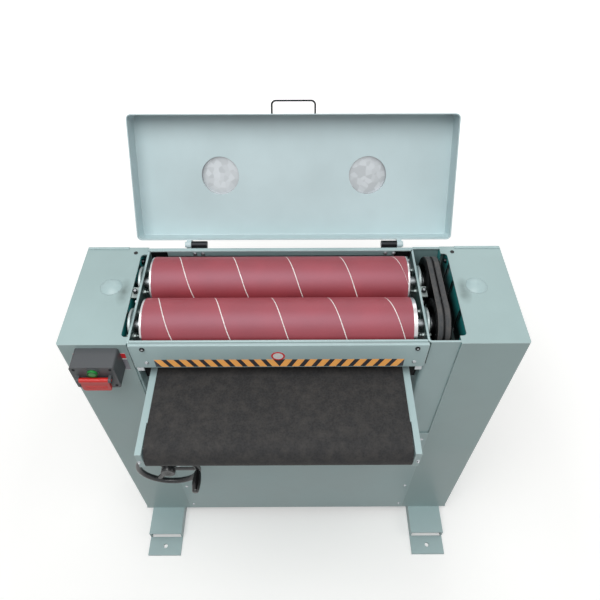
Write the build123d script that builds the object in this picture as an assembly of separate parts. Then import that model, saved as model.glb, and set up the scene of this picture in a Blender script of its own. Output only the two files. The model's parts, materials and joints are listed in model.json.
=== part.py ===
from build123d import *

import math
import os

# Double drum sander: two driven abrasive drums in an open head over a rising conveyor table.
# Millimetres, +X to the operator's right, +Y towards the outfeed, +Z up.
# The origin is on the floor, midway between the four anchor holes.

# Fits shared by all pieces
running_gap = 0.05        # radial, shafts and pins in their bores
working_gap = 0.3         # between faces that move past each other
thrust_gap = 0.1          # between a turning collar and its seat

# Stand
deck_height = 1020.0      # floor to the flat decks beside the head
column_width = 155.0
column_front = -150.0
column_rear = 157.0
column_sheet = 3.0
column_bend = 6.0
column_recess = 15.5      # the columns' inner walls stand back this far from the head
column_lip = 18.0         # folded inner edges that the head plates bolt to
notch_front = -128.0
notch_rear = 132.0
notch_corner = 9.0
window_width = 9.0        # slots in the columns' inner walls
window_height = 70.0
window_drop = 8.0         # below the deck
window_places = (-50.0, 44.0, 101.0)
base_sheet = 5.0
foot_width = 110.0
foot_height = 40.0
foot_length = 480.0
foot_sheet = 4.0
pad_length = 60.0         # anchor pads beyond the feet's ends
pad_thick = 8.0
anchor_hole = 14.0
foot_inset = 77.0         # from the outer side to the middle of a foot
cabinet_sheet = 3.0
cabinet_fold = 20.0
cabinet_top = 594.0
louvre_width = 160.0
louvre_height = 8.0
louvre_pitch = 22.0
louvre_rows = 8
louvre_mid_z = 330.0
deck_cap_radius = 26.0
deck_cap_rise = 9.0
deck_cap_in = 68.0        # from the column's inner edge
deck_cap_y = 22.0
bumper_radius = 5.0
bumper_rise = 1.2
bumper_in = 30.0          # from the column's inner edge
bumper_y = 137.0

# Head
head_width = 665.5        # between the inner faces of the head plates
plate_thick = 5.0
plate_depth = 292.0
plate_corner = 5.0
plate_foot = 590.0        # lower edge of the left plate
bay_width = 68.5          # belt bay, from the right plate to the right column
bay_bend = 9.0
panel_sheet = 3.0
panel_bend = 4.0
panel_height = 84.0
front_panel_face = -154.0
front_flange = 16.0
rear_panel_face = 156.0
rear_flange = 13.0
rear_lip_height = 14.0
rear_lip_short = 43.0     # the lip ends this far short of the plates
bracket_sheet = 3.0
bracket_reach = 40.0
bracket_leg = 9.0
bracket_height = 22.0
bracket_drop = 6.0        # below the plates' top edges

# Drums
drum_diameter = 127.0     # over the abrasive
drum_spacing = 134.0
drum_mid_y = -7.0
drum_drop = 27.0          # axis below the plates' top edges
drum_end_gap = 22.0       # from the plates to the ends of the tubes
tube_wall = 8.0
abrasive_thick = 1.0
abrasive_fit = 0.05       # between tube and strip
front_rims = (4.5, 8.5)   # bare tube left and right of the front strip
rear_rims = (4.0, 4.0)
seam_lead = 130.8
seam_gap = 3.0
front_seam_at_top = -3.2  # seam on the drum's crown, from the head's middle
rear_seam_at_top = 27.4
shaft_diameter = 25.0
end_disc_thick = 14.0
end_disc_inset = 4.0
end_hub_radius = 24.0
end_hub_length = 8.0
shaft_beyond_bearing = 1.0
bearing_radius = 40.0
bearing_flange = 5.0
bearing_hub_radius = 27.0
bearing_shoulder = 7.5
bearing_shoulder_radius = 30.0
bearing_depth = 11.0
bearing_opening = 22.0    # radius of the plates' holes round the shafts

# Belt drive
pulley_radius = 61.0
pulley_offset = 20.5      # from the right plate's inner face
pulley_width = 33.0
pulley_web = 10.0
pulley_rim = 9.0          # rim left below the groove bottoms
pulley_hub_radius = 24.0
groove_pitch = 15.5
belt_proud = 1.5          # belt tops stand this far above the pulley rims
belt_top_width = 12.5
belt_height = 8.0
belt_flank = 17.0         # degrees from square
groove_floor = 1.5        # below the belt's inner face
motor_axis_height = 250.0
motor_shaft_diameter = 28.0
motor_foot_height = 112.0
motor_radius = 98.0
motor_length = 270.0
motor_bell = 22.0
motor_standoff = 14.0     # motor face to the right plate
fan_cover_length = 55.0
fan_cover_radius = 92.0
motor_rib_count = 24
motor_rib_rise = 6.0
motor_rib_thick = 4.0
motor_foot_width = 30.0
motor_foot_span = 216.0
motor_foot_rise = 37.0
motor_shaft_in = 60.0     # length of shaft held inside the motor
motor_shaft_hole = 30.0   # radius of the right plate's hole round the motor shaft
bench_sheet = 6.0
bench_length = 260.0
bench_depth = 250.0

# Drum adjusters on the plates, midway between the drums
adjuster_y = 4.0
adjuster_leg_width = 24.0
adjuster_ear_width = 32.0
adjuster_ear_reach = 14.0
adjuster_sheet = 3.0
adjuster_leg_height = 45.0
adjuster_screw_radius = 3.0
adjuster_screw_reach = 6.3  # from the plate's outer face to the screw's axis
adjuster_screw_length = 38.0
adjuster_head_radius = 5.6
adjuster_head_height = 8.0
adjuster_socket_across = 6.0

# Pressure rollers
pressure_radius = 12.0
pressure_journal = 6.0
pressure_offset = 61.0    # behind or ahead of the drum's axis
pressure_below_drum = 1.5
pressure_block_width = 20.0
pressure_block_thick = 16.0
pressure_block_height = 36.0
guide_jaw = 4.0
guide_below = 6.0         # the guides reach this far below the blocks
guide_bridge = 6.0
spring_height = 26.0
spring_wire = 2.0
spring_wire_sides = 6
spring_radius = 6.5
spring_turns = 4
pressure_screw_radius = 3.0
pressure_screw_rise = 18.0
pressure_nut_across = 10.0
pressure_nut_height = 5.0

# Conveyor table
board_gap = 30.0          # belt to drums at rest
belt_side_gap = 40.0      # from the plates to the belt's edges
belt_thick = 2.5
roller_radius = 35.0
roller_span = 540.0       # between the roller axes
table_forward = 50.0      # middle of the table, ahead of the stand's middle
roller_journal = 10.0
rail_gap = 3.0            # belt edge to rail
rail_width = 14.0
rail_sheet = 5.0
rail_height = 60.0
rail_below_belt = 3.5
rail_overhang = 32.0      # beyond the roller axes
bed_thick = 6.0
bed_short = 10.0          # bed ends short of the rollers
cross_bar = 20.0
cross_bar_height = 34.0
cross_bar_y = 150.0
roller_bearing_radius = 20.0
gearbox_size = 88.0
gearbox_depth = 76.0
gearbox_corner = 8.0
feed_motor_radius = 38.0
feed_motor_length = 150.0
feed_motor_cap = 20.0
feed_motor_taper = 20.0   # degrees
feed_flange = 104.0
feed_flange_thick = 8.0

# Height lift
screw_radius = 8.0
screw_from_plate = 13.7   # axis to the head plate
screw_y = 100.0
screw_above_rail = 14.0   # screw tops above the table's rails at rest
screw_foot = 536.0
lift_deck_top = 600.0
lift_deck_sheet = 6.0
lift_boss_radius = 13.0
lift_boss_height = 20.0
screw_collar_radius = 12.0
screw_collar_height = 6.0
sprocket_radius = 20.0
sprocket_thick = 8.0
sprocket_drop = 20.0      # below the lift deck
sprocket_teeth = 12
tooth_depth = 3.0
chain_thick = 6.0
chain_window = 22.0       # height of the slot for the chain in the belt housing
nut_width = 40.0
nut_height = 40.0
nut_plate_gap = 2.0       # nuts to the head plates
lift_box_width = 64.0
lift_box_depth = 56.0
lift_box_height = 60.0
lift_box_top = 562.0
lift_box_hanger = 10.0
lift_box_corner = 5.0
handwheel_shaft_radius = 9.0
handwheel_radius = 82.0   # to the middle of the rim
handwheel_rim = 16.0      # rim section, across
handwheel_rim_corner = 4.5
handwheel_plane = -222.0
handwheel_hub_radius = 20.0
handwheel_hub_length = 30.0
handwheel_spoke = 16.0
handwheel_web = 8.0
handwheel_fillet = 6.0
handwheel_spokes = 3
knob_stud_radius = 4.0
knob_radius = 12.0
knob_neck = 8.4
knob_length = 60.0
knob_swell = 30.0         # from the wheel to where it is widest
knob_shoulder = 50.0      # from the wheel to where it narrows again
panel_bush_radius = 17.0
panel_bush_length = 14.0

# Lid, drawn shut and then swung open
lid_overlap = 32.0        # over each column's deck
lid_front = -152.0
lid_rear = 157.0
lid_rim_rise = 1.5        # rim above the deck
lid_top_rise = 60.0       # top above the deck
lid_sheet = 2.5
lid_corner = 12.0
lid_edge = 5.0
lid_open_angle = 121.0
hinge_y = 168.0
hinge_drop = 1.0          # hinge axis below the deck
hinge_in = 128.0          # from the columns to the middle of a hinge
hinge_length = 40.0
hinge_radius = 9.0
hinge_leaf_height = 38.0
hinge_leaf_thick = 3.0
hinge_pin_radius = 4.0
hinge_pin_head = 7.0
hinge_pin_head_thick = 3.5
lug_width = 12.5
lug_gap = 0.4             # between barrel and lug
lug_height = 20.0
port_radius = 50.0
port_wall = 2.0
port_length = 50.0
port_flange = 62.0
port_flange_thick = 3.0
port_in = 214.0           # from the lid's ends to the ports
port_y = 0.0
handle_span = 110.0
handle_reach = 32.0
handle_width = 22.0
handle_sheet = 4.0
handle_bend = 12.0

# Switch box on the left column
switch_in = 69.0          # from the column's inner edge to the box's middle
switch_width = 98.0
switch_height = 80.0
switch_depth = 52.0
switch_top_drop = 12.0
switch_corner = 6.0
start_radius = 11.0
start_rise = 7.0
start_travel = 4.0
start_drop = 18.0         # below the box's top
start_collar = 4.0
start_collar_rise = 2.0
paddle_width = 64.0
paddle_height = 38.0
paddle_thick = 6.0
paddle_standoff = 9.0
paddle_axis_drop = 36.0
paddle_pin_radius = 3.0
paddle_eye_radius = 6.0
paddle_ear = 6.0
gland_radius = 11.0
gland_length = 22.0
gland_side = 26.0         # from the box's middle

# Places worked out from the sizes above
overall_width = 2 * column_width + 2 * plate_thick + head_width + bay_width
column_inner_x = overall_width / 2 - column_width
left_plate_out = -column_inner_x
left_plate_in = left_plate_out + plate_thick
right_plate_in = left_plate_in + head_width
right_plate_out = right_plate_in + plate_thick
head_mid = (left_plate_in + right_plate_in) / 2
plate_front = -plate_depth / 2
plate_rear = plate_depth / 2
base_top = foot_height + base_sheet
anchor_span_x = overall_width - 2 * foot_inset
anchor_span_y = foot_length + pad_length

drum_radius = drum_diameter / 2
tube_radius = drum_radius - abrasive_thick
drum_z = deck_height - drum_drop
drum_bottom = drum_z - drum_radius
front_drum_y = drum_mid_y - drum_spacing / 2
rear_drum_y = drum_mid_y + drum_spacing / 2
tube_left = left_plate_in + drum_end_gap
tube_right = right_plate_in - drum_end_gap
shaft_radius = shaft_diameter / 2
bearing_left_end = left_plate_out - bearing_depth

pulley_left = right_plate_in + pulley_offset
pulley_right = pulley_left + pulley_width
pulley_mid = (pulley_left + pulley_right) / 2
belt_outer = pulley_radius + belt_proud
belt_inner = belt_outer - belt_height
belt_low_width = belt_top_width - 2 * belt_height * math.tan(math.radians(belt_flank))
groove_places = (pulley_mid - groove_pitch / 2, pulley_mid + groove_pitch / 2)
pulley_axes = ((front_drum_y, drum_z), (rear_drum_y, drum_z), (drum_mid_y, motor_axis_height))
motor_right = right_plate_in - motor_standoff
motor_left = motor_right - motor_length

pressure_z = drum_bottom - pressure_below_drum + pressure_radius
pressure_block_top = pressure_z + pressure_block_height / 2
guide_top = pressure_block_top + spring_height + guide_bridge
spring_rise = spring_height - spring_wire - 2 * thrust_gap
pressure_ys = {"infeed": front_drum_y - pressure_offset, "outfeed": rear_drum_y + pressure_offset}

belt_top = drum_bottom - board_gap
roller_z = belt_top - belt_thick - roller_radius
rail_top = belt_top - rail_below_belt
rail_bottom = rail_top - rail_height
belt_half = head_width / 2 - belt_side_gap
left_rail_in = head_mid - belt_half - rail_gap
right_rail_in = head_mid + belt_half + rail_gap
left_rail_out = left_rail_in - rail_width
right_rail_out = right_rail_in + rail_width
drive_y = roller_span / 2 - table_forward
idler_y = -roller_span / 2 - table_forward

screw_xs = {"left": left_plate_in + screw_from_plate, "right": right_plate_in - screw_from_plate}
screw_top = rail_top + screw_above_rail
screw_ys = {"front": -screw_y, "rear": screw_y}
sprocket_top = lift_deck_top - lift_deck_sheet - sprocket_drop
sprocket_bottom = sprocket_top - sprocket_thick
handwheel_x = screw_xs["left"]
handwheel_z = lift_box_top - lift_box_height / 2
knob_x = handwheel_x + handwheel_radius

lid_half_width = column_inner_x + lid_overlap
lid_rim = deck_height + lid_rim_rise
lid_top = deck_height + lid_top_rise
hinge_z = deck_height - hinge_drop
hinge_x = column_inner_x - hinge_in
port_x = lid_half_width - port_in

switch_mid_x = -column_inner_x - switch_in
switch_front = column_front - switch_depth
switch_top = deck_height - switch_top_drop
switch_bottom = switch_top - switch_height
start_z = switch_top - start_drop
paddle_axis_z = switch_top - paddle_axis_drop
paddle_axis_y = switch_front - paddle_standoff


def block(x0, x1, y0, y1, z0, z1):
    """A box between three pairs of coordinates."""
    return Pos((x0 + x1) / 2, (y0 + y1) / 2, (z0 + z1) / 2) * Box(x1 - x0, y1 - y0, z1 - z0)


def rod_x(radius, x0, x1, y, z):
    """A cylinder along X."""
    return Pos((x0 + x1) / 2, y, z) * Rot(0, 90, 0) * Cylinder(radius, x1 - x0)


def rod_y(radius, x, y0, y1, z):
    """A cylinder along Y."""
    return Pos(x, (y0 + y1) / 2, z) * Rot(90, 0, 0) * Cylinder(radius, y1 - y0)


def rod_z(radius, x, y, z0, z1):
    """A cylinder along Z."""
    return Pos(x, y, (z0 + z1) / 2) * Cylinder(radius, z1 - z0)


def turned_x(outline, y, z):
    """A turned piece on an axis along X, from its half outline of (x, radius) corners."""
    face = make_face(Polyline(*[(x, 0, r) for x, r in outline], close=True))
    return Pos(0, y, z) * revolve(face, Axis.X)


def prism_x(outline, x0, x1):
    """A length along X of an outline of (y, z) corners."""
    face = make_face(Polyline(*[(x0, y, z) for y, z in outline], close=True))
    return extrude(face, x1 - x0, dir=(1, 0, 0))


def prism_z(outline, z0, z1):
    """A height along Z of an outline of (x, y) corners."""
    face = make_face(Polyline(*[(x, y, z0) for x, y in outline], close=True))
    return extrude(face, z1 - z0, dir=(0, 0, 1))


def hex_z(across, x, y, z0, z1):
    """A hexagon bar along Z."""
    return Pos(x, y, z0) * extrude(RegularPolygon(across / 2, 6, major_radius=False), z1 - z0)


def mirrored(shape, x):
    """The shape mirrored in the upright plane at x."""
    return mirror(shape, Plane((x, 0, 0), x_dir=(0, 1, 0), z_dir=(1, 0, 0)))


def swung_open(shape):
    """Lid pieces are drawn shut and swing back about the hinge axis."""
    axis = Axis((0, hinge_y, hinge_z), (1, 0, 0))
    return shape.rotate(axis, -lid_open_angle)


# Stand
def base_frame():
    """Two feet with anchor pads, and the floor sheet across them."""
    half = foot_width / 2
    anchor_x = anchor_span_x / 2
    pieces = []
    for x in (-anchor_x, anchor_x):
        foot = block(x - half, x + half, -foot_length / 2, foot_length / 2, 0, foot_height)
        inside = half - foot_sheet
        foot -= block(x - inside, x + inside, -foot_length / 2, foot_length / 2, 0, foot_height - foot_sheet)
        for side in (-1, 1):
            near = side * foot_length / 2
            far = near + side * pad_length
            foot += block(x - half, x + half, min(near, far), max(near, far), 0, pad_thick)
            foot -= rod_z(anchor_hole / 2, x, side * anchor_span_y / 2, 0, pad_thick)
        pieces.append(foot)
    side_x = overall_width / 2
    pieces.append(block(-side_x, side_x, column_front, column_rear, foot_height, base_top))
    return Compound(children=pieces)


def right_column():
    """Folded box with a notched deck, and an inner wall set back from the head."""
    inner = column_inner_x
    outer = overall_width / 2
    wall = inner + column_recess
    front_in = column_front + column_sheet
    rear_in = column_rear - column_sheet
    deck_under = deck_height - column_sheet
    shell = block(inner, outer, column_front, column_rear, base_top, deck_height)
    upright = shell.edges().filter_by(Axis.Z).sort_by(Axis.X)[-2:]
    shell = fillet(upright, column_bend)
    shell -= block(wall + column_sheet, outer - column_sheet, front_in, rear_in, base_top, deck_under)
    shell -= block(inner + column_sheet, wall, front_in, rear_in, base_top, deck_under)
    shell -= block(inner, wall, front_in + column_lip, rear_in - column_lip, base_top, deck_under)
    notch = block(inner - notch_corner, wall, notch_front, notch_rear, deck_under, deck_height)
    shell -= fillet(notch.edges().filter_by(Axis.Z).sort_by(Axis.X)[-2:], notch_corner)
    window_top = deck_under - window_drop
    for y in window_places:
        half = window_width / 2
        shell -= block(wall, wall + column_sheet, y - half, y + half, window_top - window_height, window_top)
    return shell


def left_column():
    return mirrored(right_column(), 0)


def bearing_holes(x0, x1):
    """Holes through a head plate round both drum shafts."""
    return [rod_x(bearing_opening, x0, x1, y, drum_z) for y in (front_drum_y, rear_drum_y)]


def left_head_plate():
    plate = block(left_plate_out, left_plate_in, plate_front, plate_rear, plate_foot, deck_height)
    plate = fillet(plate.edges().filter_by(Axis.X), plate_corner)
    return plate - bearing_holes(left_plate_out, left_plate_in)


def belt_housing():
    """One bent sheet: the right head plate and the front and rear walls of the belt bay."""
    tall = block(right_plate_in, column_inner_x, plate_front, plate_rear, base_top, deck_height)
    tall = fillet(tall.edges().filter_by(Axis.Z).sort_by(Axis.X)[:2], bay_bend)
    bay_front = plate_front + plate_thick
    bay_rear = plate_rear - plate_thick
    bay = block(right_plate_out, column_inner_x, bay_front, bay_rear, base_top, deck_height)
    tall -= fillet(bay.edges().filter_by(Axis.Z).sort_by(Axis.X)[:2], bay_bend - plate_thick)
    # Above its lower edge the rear head panel closes the bay instead of the housing's own rear wall.
    tall -= block(right_plate_out, column_inner_x, bay_rear - (bay_bend - plate_thick), plate_rear,
                  deck_height - panel_height, deck_height)
    tall -= bearing_holes(right_plate_in, right_plate_out)
    tall -= rod_x(motor_shaft_hole, right_plate_in, right_plate_out, drum_mid_y, motor_axis_height)
    slot_half = screw_y + sprocket_radius + chain_thick
    slot_mid = sprocket_top - sprocket_thick / 2
    tall -= block(right_plate_in, right_plate_out, -slot_half, slot_half,
                  slot_mid - chain_window / 2, slot_mid + chain_window / 2)
    return tall


def folded_panel(face_y, inward, flange):
    """Outline in (y, z) of an upright sheet with its top edge folded inwards."""
    back = face_y + inward * panel_sheet
    edge = face_y + inward * flange
    low = deck_height - panel_height
    under = deck_height - panel_sheet
    return [(face_y, low), (face_y, deck_height), (edge, deck_height), (edge, under), (back, under), (back, low)]


def front_head_panel():
    panel = prism_x(folded_panel(front_panel_face, 1, front_flange), left_plate_out, right_plate_out)
    fold = panel.edges().filter_by(Axis.X).group_by(Axis.Z)[-1].sort_by(Axis.Y)[0]
    panel = fillet(fold, panel_bend)
    behind = plate_front + front_flange
    for x0, x1 in ((left_plate_out, left_plate_in), (right_plate_in, right_plate_out)):
        panel -= block(x0, x1, plate_front, behind, deck_height - panel_sheet, deck_height)
    return panel


def rear_head_panel():
    panel = prism_x(folded_panel(rear_panel_face, -1, rear_flange), left_plate_out, right_plate_out)
    fold = panel.edges().filter_by(Axis.X).group_by(Axis.Z)[-1].sort_by(Axis.Y)[-1]
    panel = fillet(fold, panel_bend)
    under = deck_height - panel_sheet
    edge = rear_panel_face - rear_flange
    for x0, x1 in ((left_plate_out, left_plate_in), (right_plate_in, right_plate_out)):
        panel -= block(x0, x1, edge, plate_rear, under, deck_height)
    lip_low = under - rear_lip_height
    panel += block(left_plate_in + rear_lip_short, right_plate_in - rear_lip_short, edge, edge + panel_sheet,
                   lip_low, under)
    # Plain sheet that closes the belt bay, up to the column.
    panel += block(right_plate_out, column_inner_x, rear_panel_face - panel_sheet, rear_panel_face,
                   deck_height - panel_height, deck_height)
    return panel


def panel_brackets():
    """Angles that join the head panels to the plates."""
    top = deck_height - bracket_drop
    pieces = []
    for panel_y, inward in ((front_panel_face + panel_sheet, 1), (rear_panel_face - panel_sheet, -1)):
        sheet = inward * bracket_sheet
        leg = inward * bracket_leg
        outline = [
            (left_plate_in, panel_y),
            (left_plate_in + bracket_reach, panel_y),
            (left_plate_in + bracket_reach, panel_y + sheet),
            (left_plate_in + bracket_sheet, panel_y + sheet),
            (left_plate_in + bracket_sheet, panel_y + leg),
            (left_plate_in, panel_y + leg),
        ]
        angle = prism_z(outline, top - bracket_height, top)
        pieces += [angle, mirrored(angle, head_mid)]
    return Compound(children=pieces)


def cabinet_panel(face_y, inward):
    """Closing sheet below the table, with its top edge folded in."""
    side = column_inner_x
    back = face_y + inward * cabinet_sheet
    fold = back + inward * cabinet_fold
    panel = block(-side, side, min(face_y, back), max(face_y, back), base_top, cabinet_top)
    panel += block(left_plate_in, right_plate_in, min(back, fold), max(back, fold),
                   cabinet_top - cabinet_sheet, cabinet_top)
    return panel


def front_cabinet_panel():
    panel = cabinet_panel(column_front, 1)
    bush_front = column_front - panel_bush_length
    panel += rod_y(panel_bush_radius, handwheel_x, bush_front, column_front, handwheel_z)
    bore = handwheel_shaft_radius + running_gap
    return panel - rod_y(bore, handwheel_x, bush_front, column_front + cabinet_sheet, handwheel_z)


def rear_cabinet_panel():
    panel = cabinet_panel(column_rear, -1)
    low = louvre_mid_z - (louvre_rows - 1) * louvre_pitch / 2
    inner_y = column_rear - cabinet_sheet
    for row in range(louvre_rows):
        z = low + row * louvre_pitch
        panel -= block(head_mid - louvre_width / 2, head_mid + louvre_width / 2, inner_y, column_rear,
                       z - louvre_height / 2, z + louvre_height / 2)
    return panel


def lift_deck():
    """Shelf under the table, with a bush round each lift screw."""
    low = lift_deck_top - lift_deck_sheet
    deck = block(left_plate_in, right_plate_in, plate_front, plate_rear, low, lift_deck_top)
    boss_top = lift_deck_top + lift_boss_height
    for x in screw_xs.values():
        for y in screw_ys.values():
            deck += rod_z(lift_boss_radius, x, y, lift_deck_top, boss_top)
            deck -= rod_z(screw_radius + running_gap, x, y, low, boss_top)
    return deck


def deck_caps():
    """Low domes that close the holes in the decks."""
    rise = deck_cap_rise
    ball = (deck_cap_radius ** 2 + rise ** 2) / (2 * rise)
    dome = Sphere(ball) & Pos(0, 0, ball - rise / 2) * Box(4 * ball, 4 * ball, rise)
    place = deck_height + rise - ball
    cap_x = column_inner_x + deck_cap_in
    return Compound(children=[Pos(x, deck_cap_y, place) * dome for x in (-cap_x, cap_x)])


def lid_bumpers():
    """Studs that the shut lid rests over."""
    top = deck_height + bumper_rise
    bumper_x = column_inner_x + bumper_in
    pieces = [rod_z(bumper_radius, x, bumper_y, deck_height, top) for x in (-bumper_x, bumper_x)]
    return Compound(children=pieces)


# Drums
def drum_tube(y):
    tube = rod_x(tube_radius, tube_left, tube_right, y, drum_z)
    return tube - rod_x(tube_radius - tube_wall, tube_left, tube_right, y, drum_z)


def drum_shaft(y):
    """Shaft with the end discs that carry the tube."""
    disc = tube_radius - tube_wall
    left = tube_left + end_disc_inset
    right = tube_right - end_disc_inset
    outline = [
        (bearing_left_end - shaft_beyond_bearing, 0),
        (bearing_left_end - shaft_beyond_bearing, shaft_radius),
        (left - end_hub_length, shaft_radius),
        (left - end_hub_length, end_hub_radius),
        (left, end_hub_radius),
        (left, disc),
        (left + end_disc_thick, disc),
        (left + end_disc_thick, shaft_radius),
        (right - end_disc_thick, shaft_radius),
        (right - end_disc_thick, disc),
        (right, disc),
        (right, end_hub_radius),
        (right + end_hub_length, end_hub_radius),
        (right + end_hub_length, shaft_radius),
        (pulley_right + shaft_beyond_bearing, shaft_radius),
        (pulley_right + shaft_beyond_bearing, 0),
    ]
    return turned_x(outline, y, drum_z)


def drum_wrap(y, rims, seam_at_top):
    """Abrasive strip wound round the tube with an open seam, its ends cut square along the rims."""
    low = tube_left + rims[0] - head_mid
    high = tube_right - rims[1] - head_mid
    inner = tube_radius + abrasive_fit
    middle = (drum_radius + inner) / 2
    slope = math.atan(seam_lead / (2 * math.pi * middle))
    # Drawn standing up, about Z, with the seam cut through the sleeve one turn after another.
    strip = Cylinder(drum_radius, high - low) - Cylinder(inner, high - low)
    strip = Pos(0, 0, (low + high) / 2) * strip
    path = Helix(pitch=seam_lead, height=seam_lead, radius=middle)
    section = Rectangle(2 * tube_wall, seam_gap / math.cos(slope))
    turn = sweep(Plane((middle, 0, 0), x_dir=(1, 0, 0), z_dir=(0, 1, 0)) * section, path=path, is_frenet=True)
    first = math.floor((low - seam_at_top) / seam_lead) - 1
    last = math.ceil((high - seam_at_top) / seam_lead) + 1
    for number in range(first, last):
        strip -= Pos(0, 0, seam_at_top + number * seam_lead) * turn
    # Laid down, X becomes the crown, Y the front and Z the drum's axis.
    return Plane((head_mid, y, drum_z), x_dir=(0, 0, 1), z_dir=(1, 0, 0)) * strip


def grooved_pulley(y, z, bore):
    """Two-groove pulley: rim with V grooves, a web and a hub."""
    flank = math.tan(math.radians(belt_flank))
    floor = belt_inner - groove_floor
    side_gap = working_gap / math.cos(math.radians(belt_flank))
    top_half = belt_top_width / 2 - belt_proud * flank + side_gap
    floor_half = belt_low_width / 2 - groove_floor * flank + side_gap
    under_rim = floor - pulley_rim
    web_left = pulley_mid - pulley_web / 2
    web_right = pulley_mid + pulley_web / 2
    outline = [(pulley_left, pulley_radius)]
    for x in groove_places:
        outline += [(x - top_half, pulley_radius), (x - floor_half, floor)]
        outline += [(x + floor_half, floor), (x + top_half, pulley_radius)]
    outline += [
        (pulley_right, pulley_radius),
        (pulley_right, under_rim),
        (web_right, under_rim),
        (web_right, pulley_hub_radius),
        (pulley_right, pulley_hub_radius),
        (pulley_right, bore),
        (pulley_left, bore),
        (pulley_left, pulley_hub_radius),
        (web_left, pulley_hub_radius),
        (web_left, under_rim),
        (pulley_left, under_rim),
    ]
    return turned_x(outline, y, z)


def drum_bearings():
    """Flange bearings on the outer faces of both plates."""
    outline = [
        (0, shaft_radius + running_gap),
        (0, bearing_radius),
        (bearing_flange, bearing_radius),
        (bearing_flange, bearing_shoulder_radius),
        (bearing_shoulder, bearing_hub_radius),
        (bearing_depth, bearing_hub_radius),
        (bearing_depth, shaft_radius + running_gap),
    ]
    bearing = turned_x(outline, 0, 0)
    pieces = []
    for y in (front_drum_y, rear_drum_y):
        pieces.append(Pos(right_plate_out, y, drum_z) * bearing)
        pieces.append(Pos(left_plate_out, y, drum_z) * mirrored(bearing, 0))
    return Compound(children=pieces)


# Belt drive
def v_belts():
    """Two belts round both drum pulleys and the motor pulley."""
    corners = [(pulley_mid, y, z) for y, z in pulley_axes]
    middle = (belt_outer + belt_inner) / 2
    loop = offset(make_face(Polyline(*corners, close=True)), middle).faces()[0].outer_wire()
    start = loop @ 0
    along = loop % 0
    centre = Vector(pulley_mid, drum_mid_y, (drum_z + motor_axis_height) / 2)
    plane = Plane(start, x_dir=(1, 0, 0), z_dir=along)
    outward = 1 if (start + plane.y_dir - centre).length > (start - centre).length else -1
    half = belt_height / 2
    corners = [
        (-belt_top_width / 2, outward * half),
        (belt_top_width / 2, outward * half),
        (belt_low_width / 2, -outward * half),
        (-belt_low_width / 2, -outward * half),
    ]
    belt = sweep(plane * make_face(Polyline(*corners, close=True)), path=loop)
    return Compound(children=[Pos(x - pulley_mid, 0, 0) * belt for x in groove_places])


def main_motor():
    """Foot-mounted motor with ribs, end bells and a fan cover."""
    y = drum_mid_y
    z = motor_axis_height
    body_left = motor_left + motor_bell
    body_right = motor_right - motor_bell
    body = motor_radius - motor_rib_rise
    outline = [
        (motor_left - fan_cover_length, 0),
        (motor_left - fan_cover_length, fan_cover_radius - motor_bell),
        (motor_left - fan_cover_length + motor_bell, fan_cover_radius),
        (motor_left, fan_cover_radius),
        (body_left, body),
        (body_right, body),
        (motor_right, body - motor_bell),
        (motor_right, 0),
    ]
    motor = turned_x(outline, y, z)
    rib = block(body_left, body_right, -motor_rib_thick / 2, motor_rib_thick / 2, body - motor_rib_rise, motor_radius)
    for turn in range(motor_rib_count):
        motor += Pos(0, y, z) * Rot(360 * (turn + 0.5) / motor_rib_count, 0, 0) * rib
    foot_z = z - motor_foot_height
    for x in (body_left, body_right - motor_foot_width):
        motor += block(x, x + motor_foot_width, y - motor_foot_span / 2, y + motor_foot_span / 2,
                       foot_z, foot_z + motor_foot_rise)
    bore = motor_shaft_diameter / 2 + running_gap
    return motor - rod_x(bore, motor_right - motor_shaft_in, motor_right, y, z)


def motor_bench():
    """Folded bench that lifts the motor off the base sheet."""
    top = motor_axis_height - motor_foot_height
    x0 = (motor_left + motor_right - bench_length) / 2
    half = bench_depth / 2
    inside = half - bench_sheet
    y = drum_mid_y
    outline = [
        (y - half, base_top), (y - half, top), (y + half, top), (y + half, base_top),
        (y + inside, base_top), (y + inside, top - bench_sheet),
        (y - inside, top - bench_sheet), (y - inside, base_top),
    ]
    return prism_x(outline, x0, x0 + bench_length)


def motor_shaft():
    left = motor_right - motor_shaft_in + working_gap
    right = pulley_right + shaft_beyond_bearing
    return rod_x(motor_shaft_diameter / 2, left, right, drum_mid_y, motor_axis_height)


# Drum adjusters
def drum_adjusters():
    """Angle on each plate whose ear holds an upright screw."""
    leg = adjuster_leg_width / 2
    ear = adjuster_ear_width / 2
    face = right_plate_out
    angle = block(face, face + adjuster_sheet, adjuster_y - leg, adjuster_y + leg,
                  deck_height - adjuster_leg_height, deck_height)
    angle += block(face, face + adjuster_ear_reach, adjuster_y - ear, adjuster_y + ear,
                   deck_height - adjuster_sheet, deck_height)
    angle -= rod_z(adjuster_screw_radius, face + adjuster_screw_reach, adjuster_y,
                   deck_height - adjuster_sheet, deck_height)
    return Compound(children=[angle, mirrored(angle, head_mid)])


def adjuster_screws():
    """Socket-head screws standing in the ears."""
    x = right_plate_out + adjuster_screw_reach
    top = deck_height + adjuster_head_height
    screw = rod_z(adjuster_head_radius, x, adjuster_y, deck_height, top)
    screw -= hex_z(adjuster_socket_across, x, adjuster_y, deck_height + adjuster_head_height / 2, top)
    screw += rod_z(adjuster_screw_radius, x, adjuster_y, deck_height - adjuster_screw_length, deck_height)
    return Compound(children=[screw, mirrored(screw, head_mid)])


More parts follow.
